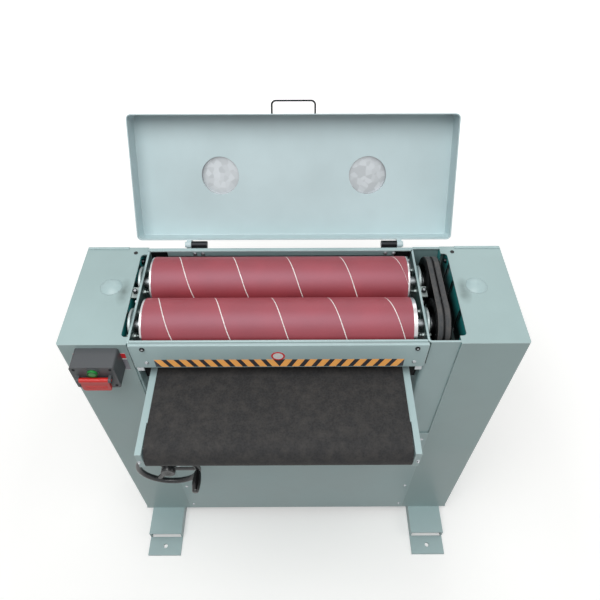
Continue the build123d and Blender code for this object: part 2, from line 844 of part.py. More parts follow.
# Pressure rollers
def pressure_guides():
    """Inverted U on each plate that guides a roller's end block, with its spring screw and nut."""
    pieces = []
    x0 = left_plate_in
    x1 = x0 + pressure_block_thick - 2 * working_gap
    screw_x = x0 + working_gap + pressure_block_thick / 2
    inner = pressure_block_width / 2 + working_gap
    outer = inner + guide_jaw
    low = pressure_z - pressure_block_height / 2 - guide_below
    bridge_low = guide_top - guide_bridge
    for y in pressure_ys.values():
        guide = block(x0, x1, y - outer, y + outer, low, guide_top)
        guide -= block(x0, x1, y - inner, y + inner, low, bridge_low)
        guide += rod_z(pressure_screw_radius, screw_x, y, guide_top, guide_top + pressure_screw_rise)
        guide += hex_z(pressure_nut_across, screw_x, y, guide_top, guide_top + pressure_nut_height)
        pieces += [guide, mirrored(guide, head_mid)]
    return Compound(children=pieces)


def pressure_blocks(y):
    """The two end blocks that carry one pressure roller."""
    half = pressure_block_width / 2
    x0 = left_plate_in + working_gap
    x1 = x0 + pressure_block_thick
    end = block(x0, x1, y - half, y + half, pressure_z - pressure_block_height / 2, pressure_block_top)
    end -= rod_x(pressure_journal + running_gap, x0, x1, y, pressure_z)
    return Compound(children=[end, mirrored(end, head_mid)])


def pressure_roller(y):
    """Roller with a stub at each end."""
    face_left = left_plate_in + pressure_block_thick + 4 * working_gap
    face_right = 2 * head_mid - face_left
    stub = pressure_block_thick
    outline = [
        (face_left - stub, 0), (face_left - stub, pressure_journal),
        (face_left, pressure_journal), (face_left, pressure_radius),
        (face_right, pressure_radius), (face_right, pressure_journal),
        (face_right + stub, pressure_journal), (face_right + stub, 0),
    ]
    return turned_x(outline, y, pressure_z)


def coil_path(radius, height, turns):
    """A rising coil as pairs of tangent arcs, each pair a half turn."""
    steps = 2 * turns
    slope = height / (2 * math.pi * turns)

    def place(step):
        angle = step * math.pi
        return Vector(radius * math.cos(angle), radius * math.sin(angle), slope * angle)

    def heading(step):
        angle = step * math.pi
        return Vector(-radius * math.sin(angle), radius * math.cos(angle), slope).normalized()

    arcs = []
    for step in range(steps):
        start, end = place(step), place(step + 1)
        go, arrive = heading(step), heading(step + 1)
        chord = end - start
        bend = 2 * (1 - go.dot(arrive))
        lean = chord.dot(go + arrive)
        reach = (math.sqrt(lean ** 2 + bend * chord.dot(chord)) - lean) / bend
        middle = (start + end + (go - arrive) * reach) * 0.5
        turn = (end - arrive * reach) - (start + go * reach)
        arcs.append(TangentArc(start, middle, tangent=go))
        arcs.append(TangentArc(middle, end, tangent=turn.normalized()))
    return Wire(arcs)


def coil_self_gap(radius, height, turns, wire):
    """Least distance between neighbouring turns, measured on points up to a quarter turn either side."""
    count = 72

    def place(angle):
        return radius * math.cos(angle), radius * math.sin(angle), height * angle / (2 * math.pi * turns)

    near = [2 * math.pi + math.pi / 2 * step / count for step in range(-count, count + 1)]
    return min(math.dist(place(0), place(angle)) for angle in near) - wire


def pressure_springs(y):
    """Coil springs between the end blocks and the guide bridges."""
    path = coil_path(spring_radius, spring_rise, spring_turns)
    section = Plane(path @ 0, z_dir=path % 0) * RegularPolygon(spring_wire / 2, spring_wire_sides)
    coil = sweep(section, path=path)
    x = left_plate_in + working_gap + pressure_block_thick / 2
    seat = pressure_block_top + thrust_gap + spring_wire / 2
    coil = Pos(x, y, seat) * coil
    return Compound(children=[coil, mirrored(coil, head_mid)])


# Conveyor table
def table_frame():
    """Side rails, bed and cross bars, welded into one frame."""
    front_end = idler_y - rail_overhang
    rear_end = drive_y + rail_overhang
    web = left_rail_in - rail_sheet
    rail = block(left_rail_out, left_rail_in, front_end, rear_end, rail_bottom, rail_top)
    rail -= block(left_rail_out, web, front_end, rear_end, rail_bottom + rail_sheet, rail_top - rail_sheet)
    for y in (drive_y, idler_y):
        rail -= rod_x(roller_journal + working_gap, web, left_rail_in, y, roller_z)
    frame = rail + mirrored(rail, head_mid)
    bed_top = belt_top - belt_thick
    bed_in = roller_radius + bed_short
    frame += block(left_rail_in, right_rail_in, idler_y + bed_in, drive_y - bed_in, bed_top - bed_thick, bed_top)
    low = bed_top - bed_thick - cross_bar_height
    for y in (-cross_bar_y, cross_bar_y):
        frame += block(left_rail_in, right_rail_in, y - cross_bar / 2, y + cross_bar / 2, low, bed_top - bed_thick)
    return frame


def conveyor_belt():
    """Endless belt round both rollers."""
    outer = roller_radius + belt_thick
    x0 = head_mid - belt_half
    loop = SlotCenterToCenter(roller_span, 2 * outer) - SlotCenterToCenter(roller_span, 2 * roller_radius)
    plane = Plane((x0, -table_forward, roller_z), x_dir=(0, 1, 0), z_dir=(1, 0, 0))
    return extrude(plane * loop, 2 * belt_half, dir=(1, 0, 0))


def conveyor_roller(y, left_end):
    """Roller with journals that reach through both rails."""
    face = belt_half
    radius = roller_radius - working_gap
    right_end = right_rail_out
    outline = [
        (left_end, 0), (left_end, roller_journal),
        (head_mid - face, roller_journal), (head_mid - face, radius),
        (head_mid + face, radius), (head_mid + face, roller_journal),
        (right_end, roller_journal), (right_end, 0),
    ]
    return turned_x(outline, y, roller_z)


def drive_roller():
    return conveyor_roller(drive_y, left_rail_out - gearbox_depth / 2)


def idler_roller():
    return conveyor_roller(idler_y, left_rail_out)


def roller_bearings():
    """Ring bearings set into the rails round the roller journals."""
    pieces = []
    for y in (drive_y, idler_y):
        ring = rod_x(roller_bearing_radius, left_rail_out, left_rail_in - rail_sheet, y, roller_z)
        ring -= rod_x(roller_journal + running_gap, left_rail_out, left_rail_in - rail_sheet, y, roller_z)
        pieces += [ring, mirrored(ring, head_mid)]
    return Compound(children=pieces)


def feed_gearmotor():
    """Right-angle gearbox on the left rail, with its motor hanging below."""
    half = gearbox_size / 2
    x1 = left_rail_out
    x0 = x1 - gearbox_depth
    x = (x0 + x1) / 2
    box = block(x0, x1, drive_y - half, drive_y + half, roller_z - half, roller_z + half)
    box = fillet(box.edges().filter_by(Axis.X), gearbox_corner)
    foot = roller_z - half
    flange_low = foot - feed_flange_thick
    box += block(x0, x1, drive_y - feed_flange / 2, drive_y + feed_flange / 2, flange_low, foot)
    motor_low = flange_low - feed_motor_length
    box += rod_z(feed_motor_radius, x, drive_y, motor_low, flange_low)
    cap = extrude(Circle(feed_motor_radius), feed_motor_cap, taper=feed_motor_taper)
    box += Pos(x, drive_y, motor_low) * Rot(180, 0, 0) * cap
    bore = roller_journal + running_gap
    return box - rod_x(bore, x - working_gap, x1, drive_y, roller_z)


def lift_nuts():
    """Nut blocks in the rails' channels, one on each lift screw."""
    pieces = []
    x = screw_xs["left"]
    mid = (rail_bottom + rail_top) / 2
    for y in screw_ys.values():
        nut = block(left_plate_in + nut_plate_gap, left_rail_in - rail_sheet, y - nut_width / 2, y + nut_width / 2,
                    mid - nut_height / 2, mid + nut_height / 2)
        nut -= rod_z(screw_radius + running_gap, x, y, mid - nut_height / 2, mid + nut_height / 2)
        pieces += [nut, mirrored(nut, head_mid)]
    return Compound(children=pieces)


# Height lift
def lift_screw(x, y):
    """Screw with a thrust collar on the lift deck and a sprocket below it."""
    seat = lift_deck_top + lift_boss_height + thrust_gap
    screw = rod_z(screw_radius, x, y, screw_foot, screw_top)
    screw += rod_z(screw_collar_radius, x, y, seat, seat + screw_collar_height)
    outline = []
    for tooth in range(2 * sprocket_teeth):
        radius = sprocket_radius if tooth % 2 else sprocket_radius - tooth_depth
        angle = math.pi * tooth / sprocket_teeth
        outline.append((x + radius * math.cos(angle), y + radius * math.sin(angle)))
    return screw + prism_z(outline, sprocket_bottom, sprocket_top)


def lift_chain():
    """Chain round the four sprockets, as a plain band."""
    corners = [(x, y) for x, y in (
        (screw_xs["left"], -screw_y), (screw_xs["right"], -screw_y),
        (screw_xs["right"], screw_y), (screw_xs["left"], screw_y))]
    core = make_face(Polyline(*corners, close=True))
    inner = sprocket_radius + working_gap
    band = offset(core, inner + chain_thick) - offset(core, inner)
    return Pos(0, 0, sprocket_bottom) * extrude(band, sprocket_thick)


def lift_gearbox():
    """Closed bevel gearbox between the handwheel shaft and the front left screw, hung from the lift deck."""
    x = screw_xs["left"]
    y = screw_ys["front"]
    half_x = lift_box_width / 2
    half_y = lift_box_depth / 2
    low = lift_box_top - lift_box_height
    box = block(x - half_x, x + half_x, y - half_y, y + half_y, low, lift_box_top)
    box = fillet(box.edges().filter_by(Axis.Z), lift_box_corner)
    arm_x = x + half_x - lift_box_hanger
    box += block(arm_x, arm_x + lift_box_hanger, y - half_y / 2, y + half_y / 2,
                 lift_box_top, lift_deck_top - lift_deck_sheet)
    box -= rod_z(screw_radius + running_gap, x, y, screw_foot - working_gap, lift_box_top)
    shaft_end = y - screw_radius - 2 * working_gap
    return box - rod_y(handwheel_shaft_radius + running_gap, x, y - half_y, shaft_end, handwheel_z)


def handwheel_shaft():
    inner = screw_ys["front"] - screw_radius - 3 * working_gap
    return rod_y(handwheel_shaft_radius, handwheel_x, handwheel_plane - handwheel_hub_length / 2, inner, handwheel_z)


def handwheel():
    """Turned wheel with windows between its spokes, and the stud that the knob turns on."""
    half = handwheel_hub_length / 2
    window_out = handwheel_radius - handwheel_rim / 2
    rim = Pos(handwheel_radius, 0) * Rectangle(handwheel_rim, handwheel_rim)
    profile = chamfer(rim.vertices(), handwheel_rim_corner)
    profile += Pos(handwheel_radius / 2, 0) * Rectangle(handwheel_radius, handwheel_web)
    profile += Pos(handwheel_hub_radius / 2, 0) * Rectangle(handwheel_hub_radius, handwheel_hub_length)
    wheel = revolve(profile, Axis.Y)
    bars = [Rot(0, 0, 360 * turn / handwheel_spokes) * Pos(handwheel_radius / 2, 0)
            * Rectangle(handwheel_radius, handwheel_spoke) for turn in range(handwheel_spokes)]
    windows = Circle(window_out) - Circle(handwheel_hub_radius + handwheel_fillet) - bars
    windows = fillet(windows.vertices(), handwheel_fillet)
    wheel -= extrude(Plane.XZ * windows, handwheel_web, both=True)
    wheel -= rod_y(handwheel_shaft_radius, 0, -half, half, 0)
    wheel += rod_y(knob_stud_radius, handwheel_radius, -handwheel_rim / 2 - knob_length, 0, 0)
    return Pos(handwheel_x, handwheel_plane, handwheel_z) * wheel


def handwheel_knob():
    """Swelling grip that turns on the handwheel's stud."""
    start = handwheel_rim / 2 + thrust_gap
    bore = knob_stud_radius + running_gap
    outline = [(bore, 0), (knob_neck, 0), (knob_radius, knob_swell), (knob_radius, knob_shoulder),
               (knob_neck, knob_length), (bore, knob_length)]
    grip = revolve(make_face(Polyline(*outline, close=True)), Axis.Y)
    return Pos(knob_x, handwheel_plane - start, handwheel_z) * Rot(180, 0, 0) * grip


# Lid
def lid():
    """Deep pan with hinge lugs and two port holes."""
    pan = block(-lid_half_width, lid_half_width, lid_front, lid_rear, lid_rim, lid_top)
    pan = fillet(pan.edges().filter_by(Axis.Z), lid_corner)
    pan = fillet(pan.faces().sort_by(Axis.Z)[-1].edges(), lid_edge)
    inner = lid_sheet
    hollow = block(-lid_half_width + inner, lid_half_width - inner, lid_front + inner, lid_rear - inner,
                   lid_rim, lid_top - inner)
    hollow = fillet(hollow.edges().filter_by(Axis.Z), lid_corner - inner)
    hollow = fillet(hollow.faces().sort_by(Axis.Z)[-1].edges(), lid_edge - inner)
    pan -= hollow
    for x in (-port_x, port_x):
        pan -= rod_z(port_radius - port_wall, x, port_y, lid_top - inner, lid_top)
    near = hinge_x + hinge_length / 2 + lug_gap
    eye = Plane((near, hinge_y, hinge_z), x_dir=(0, 1, 0), z_dir=(1, 0, 0)) * Circle(hinge_radius)
    root_low = lid_rim
    root = make_face(Polyline(
        (near, lid_rear - inner / 2, root_low), (near, lid_rear - inner / 2, root_low + lug_height),
        (near, lid_rear, root_low + lug_height), (near, hinge_y + hinge_radius, hinge_z),
        (near, hinge_y, hinge_z), close=True))
    lug = extrude(eye + root, lug_width, dir=(1, 0, 0))
    lug -= rod_x(hinge_pin_radius, near, near + lug_width, hinge_y, hinge_z)
    pan += [lug, mirrored(lug, 0)]
    return swung_open(pan)


def hinge_pins():
    """Headed pins, fast in the lid's lugs and free in the barrels."""
    x0 = hinge_x - hinge_length / 2 + working_gap
    x1 = hinge_x + hinge_length / 2 + lug_gap + lug_width
    pin = rod_x(hinge_pin_radius, x0, x1, hinge_y, hinge_z)
    pin += rod_x(hinge_pin_head, x1, x1 + hinge_pin_head_thick, hinge_y, hinge_z)
    return swung_open(Compound(children=[pin, mirrored(pin, 0)]))


def hinge_barrels():
    """Fixed barrels with a leaf on the rear head panel."""
    x0 = hinge_x - hinge_length / 2
    x1 = hinge_x + hinge_length / 2
    barrel = rod_x(hinge_radius, x0, x1, hinge_y, hinge_z)
    leaf_y = rear_panel_face + hinge_leaf_thick
    barrel += block(x0, x1, rear_panel_face, leaf_y, hinge_z - hinge_leaf_height, hinge_z)
    barrel += block(x0, x1, rear_panel_face, hinge_y, hinge_z - hinge_radius, hinge_z)
    barrel -= rod_x(hinge_pin_radius + running_gap, x0, x1, hinge_y, hinge_z)
    return Compound(children=[barrel, mirrored(barrel, 0)])


def dust_ports():
    """Flanged collars for extraction hoses on the lid's top."""
    bore = port_radius - port_wall
    port = rod_z(port_radius, port_x, port_y, lid_top, lid_top + port_length)
    port += rod_z(port_flange, port_x, port_y, lid_top, lid_top + port_flange_thick)
    port -= rod_z(bore, port_x, port_y, lid_top, lid_top + port_length)
    return swung_open(Compound(children=[port, mirrored(port, 0)]))


def lid_handle():
    """Folded strip grip on the lid's front wall."""
    z = (lid_rim + lid_top) / 2
    low = z - handle_width / 2
    high = z + handle_width / 2
    half = handle_span / 2
    out = lid_front - handle_reach
    strip = block(-half, half, out, lid_front, low, high)
    strip = fillet(strip.edges().filter_by(Axis.Z).sort_by(Axis.Y)[:2], handle_bend)
    inside = half - handle_sheet
    gap = block(-inside, inside, out + handle_sheet, lid_front, low, high)
    strip -= fillet(gap.edges().filter_by(Axis.Z).sort_by(Axis.Y)[:2], handle_bend - handle_sheet)
    return swung_open(strip)


# Switches
def switch_box():
    """Housing on the left column with a collared start hole, ears for the paddle and a cable gland."""
    x0 = switch_mid_x - switch_width / 2
    x1 = switch_mid_x + switch_width / 2
    box = block(x0, x1, switch_front, column_front, switch_bottom, switch_top)
    box = fillet(box.edges().filter_by(Axis.Y), switch_corner)
    bore = start_radius + working_gap
    box += rod_y(start_radius + start_collar, switch_mid_x, switch_front - start_collar_rise, switch_front, start_z)
    bore_end = switch_front + 2 * start_travel + working_gap
    box -= rod_y(bore, switch_mid_x, switch_front - start_collar_rise, bore_end, start_z)
    ear_x = switch_mid_x + paddle_width / 2 + working_gap
    for x in (ear_x, 2 * switch_mid_x - ear_x - paddle_ear):
        box += rod_x(paddle_eye_radius, x, x + paddle_ear, paddle_axis_y, paddle_axis_z)
        box += block(x, x + paddle_ear, paddle_axis_y, switch_front,
                     paddle_axis_z - paddle_eye_radius, paddle_axis_z + paddle_eye_radius)
        box -= rod_x(paddle_pin_radius + running_gap, x, x + paddle_ear, paddle_axis_y, paddle_axis_z)
    gland_y = (switch_front + column_front) / 2
    box += rod_z(gland_radius, switch_mid_x + gland_side, gland_y, switch_bottom - gland_length, switch_bottom)
    return box


def start_button():
    """Push button in its collar, with room to travel."""
    front = switch_front - start_rise
    return rod_y(start_radius, switch_mid_x, front, switch_front + start_travel, start_z)


def stop_paddle():
    """Flap hung on a pin between the ears."""
    half = paddle_width / 2
    ear = paddle_ear + working_gap
    x0 = switch_mid_x - half
    x1 = switch_mid_x + half
    front = paddle_axis_y - paddle_thick / 2
    flap = block(x0, x1, front, front + paddle_thick, paddle_axis_z - paddle_height, paddle_axis_z)
    flap = fillet(flap.edges().filter_by(Axis.Y).group_by(Axis.Z)[0], switch_corner)
    flap += rod_x(paddle_eye_radius, x0, x1, paddle_axis_y, paddle_axis_z)
    return flap + rod_x(paddle_pin_radius, x0 - ear, x1 + ear, paddle_axis_y, paddle_axis_z)


nodes = {
    "base_frame": base_frame(),
    "left_column": left_column(),
    "right_column": right_column(),
    "left_head_plate": left_head_plate(),
    "belt_housing": belt_housing(),
    "front_head_panel": front_head_panel(),
    "rear_head_panel": rear_head_panel(),
    "panel_brackets": panel_brackets(),
    "front_cabinet_panel": front_cabinet_panel(),
    "rear_cabinet_panel": rear_cabinet_panel(),
    "lift_deck": lift_deck(),
    "deck_caps": deck_caps(),
    "lid_bumpers": lid_bumpers(),
    "drum_bearings": drum_bearings(),
    "drum_adjusters": drum_adjusters(),
    "adjuster_screws": adjuster_screws(),
    "pressure_guides": pressure_guides(),
    "hinge_barrels": hinge_barrels(),
    "switch_box": switch_box(),
    "main_motor": main_motor(),
    "motor_bench": motor_bench(),
    "v_belts": v_belts(),
    "lift_chain": lift_chain(),
    "lift_gearbox": lift_gearbox(),
    "lid": lid(),
    "hinge_pins": hinge_pins(),
    "dust_ports": dust_ports(),
    "lid_handle": lid_handle(),
    "front_drum_tube": drum_tube(front_drum_y),
    "front_drum_shaft": drum_shaft(front_drum_y),
    "front_drum_wrap": drum_wrap(front_drum_y, front_rims, front_seam_at_top),
    "front_drum_pulley": grooved_pulley(front_drum_y, drum_z, shaft_radius),
    "rear_drum_tube": drum_tube(rear_drum_y),
    "rear_drum_shaft": drum_shaft(rear_drum_y),
    "rear_drum_wrap": drum_wrap(rear_drum_y, rear_rims, rear_seam_at_top),
    "rear_drum_pulley": grooved_pulley(rear_drum_y, drum_z, shaft_radius),
    "motor_shaft": motor_shaft(),
    "motor_pulley": grooved_pulley(drum_mid_y, motor_axis_height, motor_shaft_diameter / 2),
    "table_frame": table_frame(),
    "conveyor_belt": conveyor_belt(),
    "roller_bearings": roller_bearings(),
    "feed_gearmotor": feed_gearmotor(),
    "lift_nuts": lift_nuts(),
    "drive_roller": drive_roller(),
    "idler_roller": idler_roller(),
    "handwheel_shaft": handwheel_shaft(),
    "handwheel": handwheel(),
    "handwheel_knob": handwheel_knob(),
    "start_button": start_button(),
    "stop_paddle": stop_paddle(),
}
for end, y in pressure_ys.items():
    nodes[f"{end}_pressure_roller"] = pressure_roller(y)
    nodes[f"{end}_pressure_blocks"] = pressure_blocks(y)
    nodes[f"{end}_pressure_springs"] = pressure_springs(y)
for side, x in screw_xs.items():
    for end, y in screw_ys.items():
        nodes[f"lift_screw_{end}_{side}"] = lift_screw(x, y)

print(f"least gap between spring turns: {coil_self_gap(spring_radius, spring_rise, spring_turns, spring_wire):.2f} mm")
os.makedirs("parts", exist_ok=True)
for name, shape in nodes.items():
    export_step(shape, f"parts/{name}.step")
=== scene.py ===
"""Looks of a double drum sander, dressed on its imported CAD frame. Metres, in the CAD's own axes."""

import json
import logging
import math
from collections.abc import Callable, Iterable
from dataclasses import dataclass
from enum import Enum
from itertools import product

import bmesh
import bpy
from mathutils import Matrix, Vector


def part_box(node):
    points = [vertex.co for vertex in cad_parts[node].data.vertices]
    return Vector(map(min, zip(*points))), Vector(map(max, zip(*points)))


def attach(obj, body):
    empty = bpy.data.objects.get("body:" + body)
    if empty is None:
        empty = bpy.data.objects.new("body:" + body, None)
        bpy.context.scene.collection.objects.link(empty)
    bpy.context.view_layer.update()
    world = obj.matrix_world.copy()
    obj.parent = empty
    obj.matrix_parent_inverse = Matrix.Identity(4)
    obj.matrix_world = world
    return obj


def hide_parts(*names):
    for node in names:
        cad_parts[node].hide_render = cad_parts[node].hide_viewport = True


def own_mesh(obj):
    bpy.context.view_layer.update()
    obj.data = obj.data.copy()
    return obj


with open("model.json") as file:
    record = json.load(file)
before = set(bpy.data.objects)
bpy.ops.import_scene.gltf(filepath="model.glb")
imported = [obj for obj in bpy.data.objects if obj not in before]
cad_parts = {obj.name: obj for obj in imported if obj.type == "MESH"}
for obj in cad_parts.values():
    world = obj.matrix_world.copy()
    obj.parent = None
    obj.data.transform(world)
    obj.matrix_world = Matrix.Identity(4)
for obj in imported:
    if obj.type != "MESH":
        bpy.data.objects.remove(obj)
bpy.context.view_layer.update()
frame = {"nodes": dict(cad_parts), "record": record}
LOG = logging.getLogger("drum_sander")
MM = 0.001
SLACK = 0.01       # millimetres below which a length counts as nothing
DECK_Z = 1020.0    # millimetres from the floor to the decks
HINGE_X = 244.0    # millimetres from the middle plane to each hinge
LEAF_HALF = 10.5   # millimetres from a hinge's middle to each screw of its leaf
LEAF_XS = tuple(middle + off for middle in (-HINGE_X, HINGE_X) for off in (-LEAF_HALF, LEAF_HALF))
UP, DOWN, TO_FRONT, TO_REAR = (0, 0, 1), (0, 0, -1), (0, -1, 0), (0, 1, 0)

Tree = bpy.types.NodeTree
Node = bpy.types.Node
Socket = bpy.types.NodeSocket
Pair = tuple[float, float]
Triple = tuple[float, float, float]
Radius = float | Callable[[float], float]


class Body(Enum):
    """The CAD bodies that scene pieces ride on."""

    STAND = "stand"
    LID = "lid"
    FRONT_DRUM = "front_drum"
    REAR_DRUM = "rear_drum"
    TABLE = "table"
    HANDWHEEL = "handwheel"
    KNOB = "knob"
    STOP = "stop_paddle"
    START = "start_button"


class Axis(Enum):
    """Directions of turned pieces and drawn patterns."""

    X = "X"
    Y = "Y"
    Z = "Z"


class Skin(Enum):
    """How a bare metal surface was made."""

    TURNED = "turned"
    PLATED = "plated"
    CAST = "cast"
    SPANGLED = "spangled"
    BLACKENED = "blackened"


class Tread(Enum):
    """How a rubber surface was made."""

    WRAPPED = "wrapped"
    ROUGH_TOP = "rough top"
    MOULDED = "moulded"


def linear(colour: str, share: float = 1.0) -> tuple[float, float, float, float]:
    """Turns an sRGB hex colour into linear light.

    Args:
        colour: Hex colour such as "#B4C6C5".
        share: Factor on the light, for darker or paler tones of the colour.

    Returns:
        Red, green, blue and alpha.
    """
    parts = [int(colour[i:i + 2], 16) / 255 for i in (1, 3, 5)]
    light = [p / 12.92 if p <= 0.04045 else ((p + 0.055) / 1.055) ** 2.4 for p in parts]
    red, green, blue = (min(1.0, p * share) for p in light)
    return red, green, blue, 1.0


def per_mm(size: float) -> float:
    """Texture scale whose features are about size millimetres across."""
    return 1 / (size * MM)


def per_wave(pitch: float) -> float:
    """Scale of a wave texture whose bands lie pitch millimetres apart."""
    return math.pi / 10 / (pitch * MM)


def add_node(tree: Tree, kind: str, inputs: dict | None = None, stops: list | None = None,
             **settings: object) -> Node:
    """Adds a shader node with its settings, values and links.

    Args:
        tree: The material's or world's node tree.
        kind: Blender's name of the node.
        inputs: Values or sockets by input name or number.
        stops: Place and colour of each stop of a colour ramp.
        settings: Other settings of the node.

    Returns:
        The new node.
    """
    made = tree.nodes.new(kind)
    for key, value in settings.items():
        setattr(made, key, value)
    for key, value in (inputs or {}).items():
        if isinstance(value, Socket):
            tree.links.new(value, made.inputs[key])
        else:
            made.inputs[key].default_value = value
    for number, (place, colour) in enumerate(stops or []):
        ramp = made.color_ramp.elements
        stop = ramp[number] if number < 2 else ramp.new(place)
        stop.position, stop.color = place, colour
    return made


@dataclass(frozen=True)
class Finish:
    """A surface, named for what the real one is and how it was made.

    Attributes:
        name: Name of the material.
        slot: The record's material slot.
        colour: Main colour, sRGB hex.
        roughness: Roughness of the shader.
    """

    name: str
    slot: str
    colour: str
    roughness: float

    def material(self) -> bpy.types.Material:
        """Makes the material once and returns it afterwards.

        Returns:
            The Blender material.
        """
        made = bpy.data.materials.get(self.name)
        if made is None:
            made = bpy.data.materials.new(self.name)
            made.use_nodes = True
            tree = made.node_tree
            shader = tree.nodes["Principled BSDF"]
            shader.inputs["Base Color"].default_value = linear(self.colour)
            shader.inputs["Roughness"].default_value = self.roughness
            where = add_node(tree, "ShaderNodeTexCoord").outputs["Object"]
            self.detail(tree, shader, where)
        return made

    def detail(self, tree: Tree, shader: Node, where: Socket) -> None:
        """Draws the pattern of the surface; each kind of finish has its own.

        Args:
            tree: The material's node tree.
            shader: The shader that the pattern feeds.
            where: Place in the machine's frame.
        """

    def tones(self, spread: float) -> list[tuple]:
        """Stops for a darker tone, a paler one and the main colour between them.

        Args:
            spread: How far the tones leave the main colour.

        Returns:
            Place and colour of each stop.
        """
        return [(0.25, linear(self.colour, 1 - spread)), (0.75, linear(self.colour, 1 + spread)),
                (0.5, linear(self.colour))]

    def edge_wear_and_highlight(self, tree: Tree, radius: float, amount: float) -> tuple[Socket, Socket]:
        """Finds edges by comparing a rounded normal with the true one; they are drawn paler, as thin worn
        paint or metal and as painted highlight.

        Args:
            tree: The material's node tree.
            radius: Rounding of the edges in millimetres.
            amount: Strength of the paler edge on a square edge.

        Returns:
            The paler-edge mask and the rounded normal.
        """
        soft = add_node(tree, "ShaderNodeBevel", {"Radius": radius * MM}, samples=4).outputs[0]
        true = add_node(tree, "ShaderNodeNewGeometry").outputs["Normal"]
        turn = add_node(tree, "ShaderNodeVectorMath", {0: soft, 1: true}, operation="DOT_PRODUCT")
        wear_and_highlight = add_node(tree, "ShaderNodeMapRange", {"Value": turn.outputs["Value"], "From Min": 0.75,
                                                    "From Max": 0.985, "To Min": amount, "To Max": 0.0})
        return wear_and_highlight.outputs[0], soft


